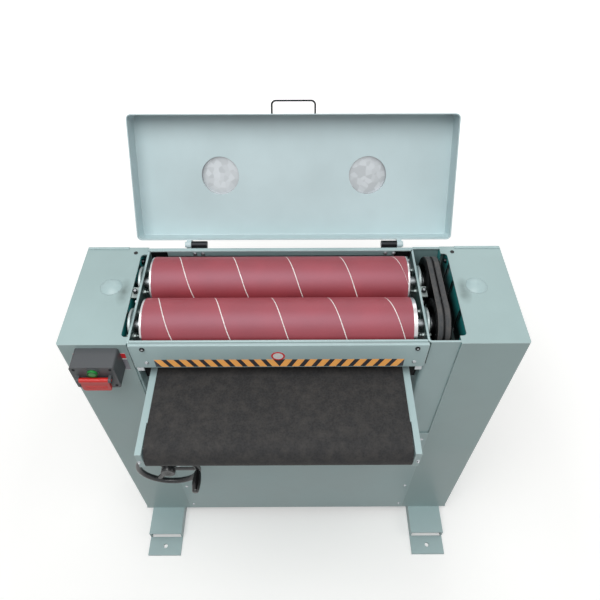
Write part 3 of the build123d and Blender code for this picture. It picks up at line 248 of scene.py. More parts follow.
@dataclass(frozen=True)
class Enamel(Finish):
    """Enamel sprayed on sheet steel or iron: orange peel, cloudy film, paler on edges where it is thin and as
    painted highlight.
    """

    worn_and_lit: str = "#DCE6E4"
    peel: float = 3.5           # millimetres; real peel is about 1.5 and is drawn coarser so that it shows
    cloud: float = 160.0
    wear_and_highlight: float = 1.2            # millimetres of paler edge, thin worn paint and painted highlight
    inside: str | None = None   # painted shade: colour that the inner walls are drawn in
    lit_inner_back: str | None = None  # painted light: paler colour of the inner walls at the rear, which face the light
    back_from: float = 139.0
    inside_side: float = 391.0  # millimetres from the middle plane to the last inner wall
    inside_face: float = 391.0  # beyond it the cut edges of the slots are drawn near black, painted shade
    inside_front: float = -146.9
    inside_rear: float = 153.9
    inside_top: float = 1016.9
    inside_low: float = 936.0
    deep_shade: str = "#070A0A"      # painted shade: near-black colour that the inner walls darken to lower down
    deep_shade_high: float = 1008.0
    deep_shade_low: float = 950.0
    shaded_slots: tuple[float, ...] = ()  # places along Y of dark bands beside the slots, painted shade
    slot_shade_half: float = 9.0
    slot_shade_soft: float = 1.5
    dark_patch: tuple[Pair, Pair] | None = None  # middle and half size of a darker patch on each deck, outwards and along Y
    dark_patch_colour: str = "#4E5B58"
    dark_patch_above: float = 1019.0
    dark_patch_noise: float = 26.0

    def detail(self, tree: Tree, shader: Node, where: Socket) -> None:
        """Cloudy film, paler edges of worn paint and painted highlight, and orange peel.

        Args:
            tree: The material's node tree.
            shader: The shader that the pattern feeds.
            where: Place in the machine's frame.
        """
        cloud = add_node(tree, "ShaderNodeTexNoise", {"Vector": where, "Scale": per_mm(self.cloud),
                                                      "Detail": 4.0})
        coat = add_node(tree, "ShaderNodeValToRGB", {0: cloud.outputs[0]}, stops=self.tones(0.06)).outputs[0]
        # Painted shade on the inner walls, and painted light on those at the rear.
        if self.inside:
            coat = self.inner_wall(tree, where, coat)
        # A darker patch on each deck.
        if self.dark_patch:
            coat = self.patch_darkened(tree, where, coat)
        # Paler edges: thin worn paint, and painted highlight.
        wear_and_highlight, soft = self.edge_wear_and_highlight(tree, self.wear_and_highlight, 0.55)
        paint = add_node(tree, "ShaderNodeMix", {0: wear_and_highlight, 6: coat, 7: linear(self.worn_and_lit)}, data_type="RGBA")
        film = add_node(tree, "ShaderNodeMapRange",
                        {"Value": cloud.outputs[0], "From Min": 0.3, "From Max": 0.7,
                         "To Min": self.roughness - 0.06, "To Max": self.roughness + 0.08})
        peel = add_node(tree, "ShaderNodeTexNoise", {"Vector": where, "Scale": per_mm(self.peel),
                                                     "Detail": 1.0})
        bump = add_node(tree, "ShaderNodeBump", {"Strength": 0.12, "Distance": 0.3 * MM,
                                                 "Height": peel.outputs[0], "Normal": soft})
        tree.links.new(paint.outputs[2], shader.inputs["Base Color"])
        tree.links.new(film.outputs[0], shader.inputs["Roughness"])
        tree.links.new(bump.outputs[0], shader.inputs["Normal"])

    def patch_darkened(self, tree: Tree, where: Socket, coat: Socket) -> Socket:
        """A darker patch on each deck beside its cap, broken up by noise.

        Args:
            tree: The material's node tree.
            where: Place in the machine's frame.
            coat: Colour of the enamel.

        Returns:
            The colour socket.
        """
        x, y, z = add_node(tree, "ShaderNodeSeparateXYZ", {0: where}).outputs
        side = add_node(tree, "ShaderNodeMath", {0: x}, operation="ABSOLUTE").outputs[0]
        reach = []
        for value, middle, half in zip((side, y), *self.dark_patch):
            off = add_node(tree, "ShaderNodeMath", {0: value, 1: middle * MM}, operation="SUBTRACT")
            share = add_node(tree, "ShaderNodeMath", {0: off.outputs[0], 1: half * MM}, operation="DIVIDE")
            reach.append(share.outputs[0])
        spread = add_node(tree, "ShaderNodeCombineXYZ", {0: reach[0], 1: reach[1]}).outputs[0]
        far = add_node(tree, "ShaderNodeVectorMath", {0: spread}, operation="LENGTH").outputs["Value"]
        near = add_node(tree, "ShaderNodeMapRange", {"Value": far, "From Min": 1.0, "From Max": 0.1,
                                                     "To Max": 1.1})
        patch = add_node(tree, "ShaderNodeTexNoise", {"Vector": where, "Scale": per_mm(self.dark_patch_noise),
                                                      "Detail": 5.0})
        above = add_node(tree, "ShaderNodeMath", {0: z, 1: self.dark_patch_above * MM}, operation="GREATER_THAN")
        amount = near.outputs[0]
        for share in (patch, above):
            amount = add_node(tree, "ShaderNodeMath", {0: amount, 1: share.outputs[0]},
                              operation="MULTIPLY").outputs[0]
        return add_node(tree, "ShaderNodeMix", {0: amount, 6: coat, 7: linear(self.dark_patch_colour)},
                        data_type="RGBA").outputs[2]

    def inner_wall(self, tree: Tree, where: Socket, coat: Socket) -> Socket:
        """Painted shade on walls that face into the head, below its deck, and painted light on those at the
        rear.

        Args:
            tree: The material's node tree.
            where: Place in the machine's frame.
            coat: Colour of the enamel elsewhere.

        Returns:
            The colour socket.
        """
        x, y, z = add_node(tree, "ShaderNodeSeparateXYZ", {0: where}).outputs
        side = add_node(tree, "ShaderNodeMath", {0: x}, operation="ABSOLUTE").outputs[0]
        within: float | Socket = 1.0
        limits = ((side, "LESS_THAN", self.inside_side), (z, "LESS_THAN", self.inside_top),
                  (z, "GREATER_THAN", self.inside_low), (y, "GREATER_THAN", self.inside_front),
                  (y, "LESS_THAN", self.inside_rear))
        for value, test, limit in limits:
            held = add_node(tree, "ShaderNodeMath", {0: value, 1: limit * MM}, operation=test).outputs[0]
            within = add_node(tree, "ShaderNodeMath", {0: within, 1: held}, operation="MULTIPLY").outputs[0]
        # Painted shade: the inner walls darken towards the bottom.
        deeper_shade = add_node(tree, "ShaderNodeMapRange", {"Value": z, "From Min": self.deep_shade_high * MM,
                                                     "From Max": self.deep_shade_low * MM}).outputs[0]
        # Painted shade: the slots' cut edges drawn near black.
        cut = add_node(tree, "ShaderNodeMath", {0: side, 1: self.inside_face * MM}, operation="GREATER_THAN")
        dark = add_node(tree, "ShaderNodeMath", {0: deeper_shade, 1: cut.outputs[0]}, operation="MAXIMUM").outputs[0]
        # Painted shade: a dark band along each slot.
        outer, inner = self.slot_shade_half + self.slot_shade_soft, self.slot_shade_half - self.slot_shade_soft
        for slot in self.shaded_slots:
            off = add_node(tree, "ShaderNodeMath", {0: y, 1: slot * MM}, operation="SUBTRACT").outputs[0]
            far = add_node(tree, "ShaderNodeMath", {0: off}, operation="ABSOLUTE").outputs[0]
            slot_shade = add_node(tree, "ShaderNodeMapRange", {"Value": far, "From Min": outer * MM,
                                                          "From Max": inner * MM, "To Max": 0.9}).outputs[0]
            dark = add_node(tree, "ShaderNodeMath", {0: dark, 1: slot_shade}, operation="MAXIMUM").outputs[0]
        # Painted light: the walls at the rear drawn paler.
        back = add_node(tree, "ShaderNodeMath", {0: y, 1: self.back_from * MM}, operation="GREATER_THAN")
        rear = linear(self.lit_inner_back or self.inside)
        # Painted shade colour of the inner walls, paler at the rear as painted light.
        first = add_node(tree, "ShaderNodeMix", {0: back.outputs[0], 6: linear(self.inside), 7: rear},
                         data_type="RGBA")
        wall = add_node(tree, "ShaderNodeMix", {0: dark, 6: first.outputs[2], 7: linear(self.deep_shade)},
                        data_type="RGBA")
        return add_node(tree, "ShaderNodeMix", {0: within, 6: coat, 7: wall.outputs[2]},
                        data_type="RGBA").outputs[2]


@dataclass(frozen=True)
class Metal(Finish):
    """Bare or plated metal."""

    skin: Skin = Skin.TURNED
    axis: Axis = Axis.X
    pitch: float = 1.4        # millimetres between tool marks; real ones are about 0.2, drawn coarser to show
    crystal: float = 14.0     # millimetres across the crystals of galvanised sheet
    sand: float = 2.0         # millimetres; grain of the mould, drawn coarser than it is so that it shows
    bloom: float = 7.0        # millimetres across the clouds of a plated or blackened skin
    dark_outer: str | None = None  # colour of the outer part, drawn dark, beyond a half width from the head's middle
    dark_outer_mid: float = -34.25
    dark_outer_half: float = 342.9

    def detail(self, tree: Tree, shader: Node, where: Socket) -> None:
        """Tool marks, plating bloom, casting grain, zinc crystals or blackened skin.

        Args:
            tree: The material's node tree.
            shader: The shader that the pattern feeds.
            where: Place in the machine's frame.
        """
        shader.inputs["Metallic"].default_value = 1.0
        wear_and_highlight, soft = self.edge_wear_and_highlight(tree, 0.5, 0.5)
        pattern, spread, relief = self.pattern(tree, where)
        tone = add_node(tree, "ShaderNodeValToRGB", {0: pattern}, stops=self.tones(spread)).outputs[0]
        # The outer part drawn near black.
        if self.dark_outer:
            x = add_node(tree, "ShaderNodeSeparateXYZ", {0: where}).outputs["X"]
            off = add_node(tree, "ShaderNodeMath", {0: x, 1: self.dark_outer_mid * MM}, operation="SUBTRACT")
            side = add_node(tree, "ShaderNodeMath", {0: off.outputs[0]}, operation="ABSOLUTE").outputs[0]
            outer = add_node(tree, "ShaderNodeMath", {0: side, 1: self.dark_outer_half * MM},
                             operation="GREATER_THAN")
            tone = add_node(tree, "ShaderNodeMix", {0: outer.outputs[0], 6: tone, 7: linear(self.dark_outer)},
                            data_type="RGBA").outputs[2]
        # Bright edges: rubbed metal, and painted highlight.
        bright = add_node(tree, "ShaderNodeMix", {0: wear_and_highlight, 6: tone, 7: linear(self.colour, 1.9)},
                          data_type="RGBA")
        grey = add_node(tree, "ShaderNodeMapRange", {"Value": pattern, "To Min": self.roughness - 0.05,
                                                     "To Max": self.roughness + 0.07})
        bump = add_node(tree, "ShaderNodeBump", {"Strength": relief, "Distance": 0.3 * MM, "Height": pattern,
                                                 "Normal": soft})
        tree.links.new(bright.outputs[2], shader.inputs["Base Color"])
        tree.links.new(grey.outputs[0], shader.inputs["Roughness"])
        tree.links.new(bump.outputs[0], shader.inputs["Normal"])

    def pattern(self, tree: Tree, where: Socket) -> tuple[Socket, float, float]:
        """What the making left on the surface.

        Args:
            tree: The material's node tree.
            where: Place in the machine's frame.

        Returns:
            The pattern, the spread of its tones and the strength of its relief.
        """
        if self.skin is Skin.TURNED:
            rings = add_node(tree, "ShaderNodeTexWave",
                             {"Vector": where, "Scale": per_wave(self.pitch), "Distortion": 0.6,
                              "Detail": 2.0, "Detail Scale": 4.0}, bands_direction=self.axis.value)
            return rings.outputs["Fac"], 0.10, 0.05
        if self.skin is Skin.SPANGLED:
            cells = add_node(tree, "ShaderNodeTexVoronoi", {"Vector": where, "Scale": per_mm(self.crystal)})
            return cells.outputs["Color"], 0.09, 0.0
        cast = self.skin is Skin.CAST
        size, detail = (self.sand, 4.0) if cast else (self.bloom, 3.0)
        cloud = add_node(tree, "ShaderNodeTexNoise", {"Vector": where, "Scale": per_mm(size),
                                                      "Detail": detail})
        return cloud.outputs[0], *((0.16, 0.35) if cast else (0.14, 0.06))


@dataclass(frozen=True)
class GritCloth(Finish):
    """Aluminium-oxide grain glued on cloth: even red-brown speckle with a soft pale gleam off the resin."""

    grain: float = 1.0       # millimetres; real grit is about 0.2 and is drawn coarser so that it shows
    cloud: float = 70.0
    gleam: str = "#E0E8FF"

    def detail(self, tree: Tree, shader: Node, where: Socket) -> None:
        """Speckle of grains over a faint cloud.

        Args:
            tree: The material's node tree.
            shader: The shader that the pattern feeds.
            where: Place in the machine's frame.
        """
        shader.inputs["Specular IOR Level"].default_value = 1.0
        shader.inputs["Specular Tint"].default_value = linear(self.gleam)
        shader.inputs["Coat Weight"].default_value = 0.12
        shader.inputs["Coat Roughness"].default_value = 0.5
        grain = add_node(tree, "ShaderNodeTexNoise", {"Vector": where, "Scale": per_mm(self.grain),
                                                      "Detail": 5.0, "Roughness": 0.75}).outputs[0]
        cloud = add_node(tree, "ShaderNodeTexNoise", {"Vector": where, "Scale": per_mm(self.cloud),
                                                      "Detail": 2.0})
        mixed = add_node(tree, "ShaderNodeMix", {0: 0.35, 2: grain, 3: cloud.outputs[0]}).outputs[0]
        tone = add_node(tree, "ShaderNodeValToRGB", {0: mixed}, stops=self.tones(0.3))
        bump = add_node(tree, "ShaderNodeBump", {"Strength": 0.4, "Distance": 0.25 * MM, "Height": grain})
        tree.links.new(tone.outputs[0], shader.inputs["Base Color"])
        tree.links.new(bump.outputs[0], shader.inputs["Normal"])


@dataclass(frozen=True)
class Tape(Finish):
    """Raw cotton edge of the backing cloth: off-white, fibrous, unevenly dusted."""

    fibre: float = 2.2       # millimetres; real fibres are far finer and are drawn coarser so that they show

    def detail(self, tree: Tree, shader: Node, where: Socket) -> None:
        """Fibres and dust along the seam.

        Args:
            tree: The material's node tree.
            shader: The shader that the pattern feeds.
            where: Place in the machine's frame.
        """
        fibre = add_node(tree, "ShaderNodeTexNoise", {"Vector": where, "Scale": per_mm(self.fibre),
                                                      "Detail": 4.0}).outputs[0]
        tone = add_node(tree, "ShaderNodeValToRGB", {0: fibre}, stops=self.tones(0.3))
        bump = add_node(tree, "ShaderNodeBump", {"Strength": 0.5, "Distance": 0.2 * MM, "Height": fibre})
        tree.links.new(tone.outputs[0], shader.inputs["Base Color"])
        tree.links.new(bump.outputs[0], shader.inputs["Normal"])


@dataclass(frozen=True)
class Rubber(Finish):
    """Vulcanised rubber, dusted with wood flour."""

    tread: Tread = Tread.MOULDED
    dust: str = "#77716B"
    dust_patch: float = 24.0       # millimetres
    cord: float = 3.1              # millimetres between cords, drawn coarser than they are so that they show
    nub: float = 4.5               # millimetres
    pore: float = 1.5              # millimetres, drawn coarser too
    belt_mid: float = 335.5        # millimetres, the plane midway between the two V-belts
    belt_pitch: float = 15.5
    frayed_and_lit: Pair = (4.6, 6.1)      # paler edge of dust and painted highlight: millimetres from a belt's middle, on the side away from the other belt
    flank: Pair = (-3.6, -4.8)     # the same towards the other belt, where no light falls
    flank_colour: str = "#0C0C0D"

    def detail(self, tree: Tree, shader: Node, where: Socket) -> None:
        """Dust, and the wrapped cords, studded top or moulded skin.

        Args:
            tree: The material's node tree.
            shader: The shader that the pattern feeds.
            where: Place in the machine's frame.
        """
        dust = add_node(tree, "ShaderNodeTexNoise", {"Vector": where, "Scale": per_mm(self.dust_patch),
                                                     "Detail": 6.0, "Roughness": 0.7})
        veil = add_node(tree, "ShaderNodeMapRange", {"Value": dust.outputs[0], "From Min": 0.42,
                                                     "From Max": 0.75, "To Max": 0.55}).outputs[0]
        off = None
        if self.tread is Tread.WRAPPED:
            cords = add_node(tree, "ShaderNodeTexWave", {"Vector": where, "Scale": per_wave(self.cord),
                                                         "Distortion": 0.4})
            height, strength = cords.outputs["Fac"], 0.35
            off = self.off_middle(tree, where)
            # Paler outer edge: dust, and painted highlight.
            edge = add_node(tree, "ShaderNodeMapRange", {"Value": off, "From Min": self.frayed_and_lit[0] * MM,
                                                         "From Max": self.frayed_and_lit[1] * MM, "To Max": 0.6})
            veil = add_node(tree, "ShaderNodeMath", {0: veil, 1: edge.outputs[0]},
                            operation="MAXIMUM").outputs[0]
        elif self.tread is Tread.ROUGH_TOP:
            nubs = add_node(tree, "ShaderNodeTexVoronoi", {"Vector": where, "Scale": per_mm(self.nub)})
            height, strength = nubs.outputs["Distance"], 0.8
        else:
            pores = add_node(tree, "ShaderNodeTexNoise", {"Vector": where, "Scale": per_mm(self.pore)})
            height, strength = pores.outputs[0], 0.15
        tone = add_node(tree, "ShaderNodeValToRGB", {0: height}, stops=self.tones(0.25)).outputs[0]
        skin = add_node(tree, "ShaderNodeMix", {0: veil, 6: tone, 7: linear(self.dust)}, data_type="RGBA")
        if off is not None:
            flank = add_node(tree, "ShaderNodeMapRange", {"Value": off, "From Min": self.flank[0] * MM,
                                                          "From Max": self.flank[1] * MM})
            skin = add_node(tree, "ShaderNodeMix", {0: flank.outputs[0], 6: skin.outputs[2],
                                                    7: linear(self.flank_colour)}, data_type="RGBA")
        bump = add_node(tree, "ShaderNodeBump", {"Strength": strength, "Distance": 0.5 * MM,
                                                 "Height": height})
        tree.links.new(skin.outputs[2], shader.inputs["Base Color"])
        tree.links.new(bump.outputs[0], shader.inputs["Normal"])

    def off_middle(self, tree: Tree, where: Socket) -> Socket:
        """Distance from the middle of each V-belt, positive on the side away from the other belt.

        Args:
            tree: The material's node tree.
            where: Place in the machine's frame.

        Returns:
            The distance in metres.
        """
        x = add_node(tree, "ShaderNodeSeparateXYZ", {0: where}).outputs["X"]
        off = add_node(tree, "ShaderNodeMath", {0: x, 1: self.belt_mid * MM}, operation="SUBTRACT").outputs[0]
        side = add_node(tree, "ShaderNodeMath", {0: off}, operation="ABSOLUTE").outputs[0]
        return add_node(tree, "ShaderNodeMath", {0: side, 1: self.belt_pitch / 2 * MM},
                        operation="SUBTRACT").outputs[0]


@dataclass(frozen=True)
class Moulding(Finish):
    """Injection-moulded plastic with a spark-eroded texture."""

    texture: float = 1.2     # millimetres; the real one is about 0.3 and is drawn coarser so that it shows

    def detail(self, tree: Tree, shader: Node, where: Socket) -> None:
        """Fine even texture, paler on edges, rubbed and painted highlight.

        Args:
            tree: The material's node tree.
            shader: The shader that the pattern feeds.
            where: Place in the machine's frame.
        """
        grain = add_node(tree, "ShaderNodeTexNoise", {"Vector": where, "Scale": per_mm(self.texture),
                                                      "Detail": 2.0}).outputs[0]
        wear_and_highlight, soft = self.edge_wear_and_highlight(tree, 0.8, 0.35)
        tone = add_node(tree, "ShaderNodeValToRGB", {0: grain}, stops=self.tones(0.1)).outputs[0]
        # Paler edges: rubbed plastic, and painted highlight.
        skin = add_node(tree, "ShaderNodeMix", {0: wear_and_highlight, 6: tone, 7: linear(self.colour, 1.8)},
                        data_type="RGBA")
        bump = add_node(tree, "ShaderNodeBump", {"Strength": 0.15, "Distance": 0.2 * MM, "Height": grain,
                                                 "Normal": soft})
        tree.links.new(skin.outputs[2], shader.inputs["Base Color"])
        tree.links.new(bump.outputs[0], shader.inputs["Normal"])


@dataclass(frozen=True)
class Film(Finish):
    """Printed vinyl film: even colour, faintly scuffed and dusty."""

    scuff: float = 9.0       # millimetres
    glow: float = 0.0        # painted light: strength with which the print glows in its own colour

    def detail(self, tree: Tree, shader: Node, where: Socket) -> None:
        """Scuffs that dull the print.

        Args:
            tree: The material's node tree.
            shader: The shader that the pattern feeds.
            where: Place in the machine's frame.
        """
        # Painted light: the print glows in its own colour.
        shader.inputs["Emission Color"].default_value = linear(self.colour)
        shader.inputs["Emission Strength"].default_value = self.glow
        scuff = add_node(tree, "ShaderNodeTexNoise", {"Vector": where, "Scale": per_mm(self.scuff),
                                                      "Detail": 5.0}).outputs[0]
        tone = add_node(tree, "ShaderNodeValToRGB", {0: scuff}, stops=self.tones(0.08))
        dull = add_node(tree, "ShaderNodeMapRange", {"Value": scuff, "To Min": self.roughness - 0.1,
                                                     "To Max": self.roughness + 0.15})
        tree.links.new(tone.outputs[0], shader.inputs["Base Color"])
        tree.links.new(dull.outputs[0], shader.inputs["Roughness"])


# Semi-gloss machine enamel: pale grey-green, soft cloudy sheen, paler edges of thin worn paint and painted
# highlight.
SHEET_ENAMEL = Enamel("grey_green_enamel_sprayed", "machine_paint", "#A8BFC0", 0.38)
# The same enamel on the columns, with painted shade on their recessed walls (blue-green, near black lower
# down, along the slots and on their cut edges) and a darker patch on each deck.
COLUMN_ENAMEL = Enamel("grey_green_enamel_columns", "machine_paint", "#9FB5B5", 0.38, inside="#31A8A8",
                       inside_face=387.7, deep_shade_high=1012.0, deep_shade_low=968.0, shaded_slots=(-57.0, 37.0, 94.0),
                       dark_patch=((407.0, 6.0), (19.0, 46.0)))
# The same enamel on the head's panels and plates, with painted shade on their inner faces, near black lower
# down, and painted light on those at the rear.
PANEL_ENAMEL = Enamel("grey_green_enamel_head_panels", "machine_paint", "#A8BFC0", 0.38, inside="#496563",
                      lit_inner_back="#86A3A4", inside_side=371.9, inside_front=-145.9, inside_rear=153.5,
                      deep_shade_low=900.0, wear_and_highlight=2.0)
# The same enamel on the lid, drawn paler as painted light.
LID_PAINTED_LIGHT = Enamel("grey_green_enamel_lid_painted_light", "machine_paint", "#BDD0D3", 0.36)
# The same enamel in pressed grooves, drawn darker as painted shade.
GROOVE_PAINTED_SHADE = Enamel("grey_green_enamel_groove_painted_shade", "machine_paint", "#7C9293", 0.55)
# Dark stove enamel of the motor: duller, with coarse peel.
MOTOR_ENAMEL = Enamel("dark_grey_enamel_stoved", "motor_paint", "#3F4B50", 0.45, worn_and_lit="#7C878B", peel=5.0)
# Black gloss enamel on the cast handwheel: deep, with bright edges, worn and painted highlight.
WHEEL_ENAMEL = Enamel("black_enamel_on_iron", "wheel_iron", "#222426", 0.28, worn_and_lit="#5A5D60", peel=6.0)
# Turned mild steel: bright, with rings left by the tool.
TURNED_X = Metal("mild_steel_turned_x", "bright_steel", "#CBCBCC", 0.30)
TURNED_Y = Metal("mild_steel_turned_y", "bright_steel", "#C4C5C6", 0.30, axis=Axis.Y)
TURNED_Z = Metal("mild_steel_turned_z", "bright_steel", "#C4C5C6", 0.32, axis=Axis.Z)
# Zinc plate: grey with a blue bloom.
ZINC = Metal("steel_zinc_plated", "zinc_steel", "#B5B9BC", 0.38, skin=Skin.PLATED)
# Zinc on brackets in the corners of the head, drawn dark grey.
DARK_ZINC = Metal("steel_zinc_dark", "zinc_steel", "#2E3133", 0.6, skin=Skin.PLATED)
# Weathered zinc on bolts and adjusters inside the head: soft grey.
SOFT_ZINC = Metal("steel_zinc_weathered", "zinc_steel", "#9BA6A4", 0.55, skin=Skin.PLATED)
# Oiled steel of the drum shafts: mid grey rings under an oil film.
OILED_STEEL = Metal("mild_steel_oiled", "bright_steel", "#8B9092", 0.42, pitch=2.2)
# The same steel on the bearing housings: a pale flange, and an outer hub drawn near black.
DARK_HUB_STEEL = Metal("mild_steel_dark_hub", "bright_steel", "#98A1A1", 0.45, pitch=2.2, dark_outer="#24292A")
# Yellow-passivated zinc: faintly brassy bolts.
YELLOW_ZINC = Metal("steel_yellow_passivated", "zinc_steel", "#A9A596", 0.42, skin=Skin.PLATED)
# Black oxide on screws and hinges: dark satin with grey edges.
BLACK_OXIDE = Metal("steel_black_oxide", "black_steel", "#2C2D2F", 0.42, skin=Skin.BLACKENED)
# Black cast iron of the pulleys and blocks: dark grain of the sand mould.
CAST_IRON = Metal("iron_sand_cast_black", "black_iron", "#1B1C1D", 0.55, skin=Skin.CAST)
# Cast aluminium of the gearboxes: pale, grainy.
CAST_ALLOY = Metal("aluminium_sand_cast", "gear_alloy", "#A5A7A9", 0.48, skin=Skin.CAST)
# Drawn spring wire: grey, slightly oily.
SPRING_WIRE = Metal("spring_wire_drawn", "spring_steel", "#8E9093", 0.33, skin=Skin.PLATED)
# Galvanised sheet: patchwork of zinc crystals.
GALVANISED = Metal("sheet_galvanised", "port_steel", "#AEB3B6", 0.42, skin=Skin.SPANGLED)
# Aluminium-oxide cloth: matt red-brown grain.
ABRASIVE = GritCloth("aluminium_oxide_cloth", "abrasive", "#90343A", 0.56)
# Cotton edge of the cloth at the seam: off-white fibres.
SEAM = Tape("cotton_backing_frayed", "abrasive", "#EFE7E4", 0.85)
# Wrapped V-belt: dusty grey-black, paler at its outer edges with dust and painted highlight, near black as
# painted shade where it faces the other belt.
BELT = Rubber("v_belt_fabric_wrapped", "belt_rubber", "#343739", 0.7, tread=Tread.WRAPPED, dust="#625D59")
# Rough-top conveyor belt: dull black studs.
CONVEYOR = Rubber("conveyor_rubber_rough_top", "conveyor_rubber", "#242425", 0.85, tread=Tread.ROUGH_TOP,
                  dust="#4A4744")
# Moulded rubber studs: plain black.
STUD = Rubber("rubber_moulded", "stud_rubber", "#121213", 0.6, dust="#232324")
# Phenolic knob: polished black.
PHENOLIC = Moulding("phenolic_polished", "grip_plastic", "#1B1B1C", 0.2)
# ABS box: dark grey, textured.
ABS_BOX = Moulding("abs_textured_grey", "box_plastic", "#484B4E", 0.5)
# Red and green switch mouldings: smooth, bright.
ABS_RED = Moulding("abs_gloss_red", "stop_plastic", "#C4201C", 0.3)
ABS_GREEN = Moulding("abs_gloss_green", "start_plastic", "#1F8A3C", 0.3)
# Vinyl films: stripe orange and black, the orange glowing as painted light, disc white and red, switch field
# grey.
FILM_ORANGE = Film("vinyl_film_orange", "machine_paint", "#FFB461", 0.4, glow=0.2)
FILM_BLACK = Film("vinyl_film_black", "black_steel", "#3E3E44", 0.4)
FILM_WHITE = Film("vinyl_film_white", "machine_paint", "#F8F8F6", 0.4)
FILM_RED = Film("vinyl_film_red", "stop_plastic", "#F02A30", 0.4)
FILM_GREY = Film("vinyl_film_grey", "machine_paint", "#8F8C96", 0.4)

SLOT_FINISH: dict[str, Finish] = {
    "machine_paint": SHEET_ENAMEL, "bright_steel": TURNED_X, "zinc_steel": ZINC, "black_steel": BLACK_OXIDE,
    "black_iron": CAST_IRON, "abrasive": ABRASIVE, "belt_rubber": BELT, "conveyor_rubber": CONVEYOR,
    "stud_rubber": STUD, "motor_paint": MOTOR_ENAMEL, "gear_alloy": CAST_ALLOY, "spring_steel": SPRING_WIRE,
    "wheel_iron": WHEEL_ENAMEL, "grip_plastic": PHENOLIC, "box_plastic": ABS_BOX, "stop_plastic": ABS_RED,
    "start_plastic": ABS_GREEN, "port_steel": GALVANISED,
}
NODE_FINISH: dict[str, Finish] = {
    "left_column": COLUMN_ENAMEL, "right_column": COLUMN_ENAMEL, "handwheel_shaft": TURNED_Y,
    "lid": LID_PAINTED_LIGHT, "hinge_pins": LID_PAINTED_LIGHT, "front_head_panel": PANEL_ENAMEL,
    "rear_head_panel": PANEL_ENAMEL, "panel_brackets": DARK_ZINC, "left_head_plate": PANEL_ENAMEL,
    "belt_housing": PANEL_ENAMEL, "drum_adjusters": SOFT_ZINC, "drum_bearings": DARK_HUB_STEEL,
    "front_drum_shaft": OILED_STEEL, "rear_drum_shaft": OILED_STEEL,
}


def point(x: float, y: float, z: float) -> Vector:
    """A place given in millimetres."""
    return Vector((x, y, z)) * MM


def stand_on(origin: Vector, axis: Triple) -> Matrix:
    """Matrix that lays local Z along an axis at a point.

    Args:
        origin: Where local zero goes, in metres.
        axis: Direction of local Z.

    Returns:
        The matrix.
    """
    turn = Vector(axis).to_track_quat("Z", "Y")
    return Matrix.Translation(origin) @ turn.to_matrix().to_4x4()


def turns(count: int, shift: float = 0.0) -> list[float]:
    """Angles of places spaced evenly round a circle, in radians."""
    return [2 * math.pi * (number + shift) / count for number in range(count)]


def ring(middle: Vector, first: Vector, second: Vector, sides: int) -> list[Vector]:
    """Points round an ellipse with two half axes, in metres."""
    return [middle + first * math.cos(a) + second * math.sin(a) for a in turns(sides)]


def corners(left: float, right: float, low: float, high: float) -> list[Pair]:
    """The four corners of a rectangle, in order round it."""
    return [(left, low), (right, low), (right, high), (left, high)]


def hexagon(flat: float) -> Callable[[float], float]:
    """Radius of a hexagon as a function of the angle, from half its width across flats."""
    return lambda angle: flat / math.cos((angle + math.pi / 6) % (math.pi / 3) - math.pi / 6)


def on_circle(radius: float, angles: Iterable[float]) -> list[Pair]:
    """Places on a circle round zero, at angles in radians."""
    return [(radius * math.cos(a), radius * math.sin(a)) for a in angles]


def eased_ends(low: float, high: float, radius: float, ease: float) -> list[Pair]:
    """Height and radius of the corners of a turned disc with both edges eased."""
    return [(low, radius - ease), (low + ease, radius), (high - ease, radius), (high, radius - ease)]


def middle_of(low: Vector, high: Vector) -> Triple:
    """Middle of a box in metres, given in millimetres."""
    x, y, z = ((first + last) / 2 / MM for first, last in zip(low, high))
    return x, y, z


def add_object(name: str, data: bpy.types.ID) -> bpy.types.Object:
    """Makes an object and links it to the scene.

    Args:
        name: Name of the object.
        data: Its mesh, lamp or lens.

    Returns:
        The new object.
    """
    made = bpy.data.objects.new(name, data)
    bpy.context.scene.collection.objects.link(made)
    return made


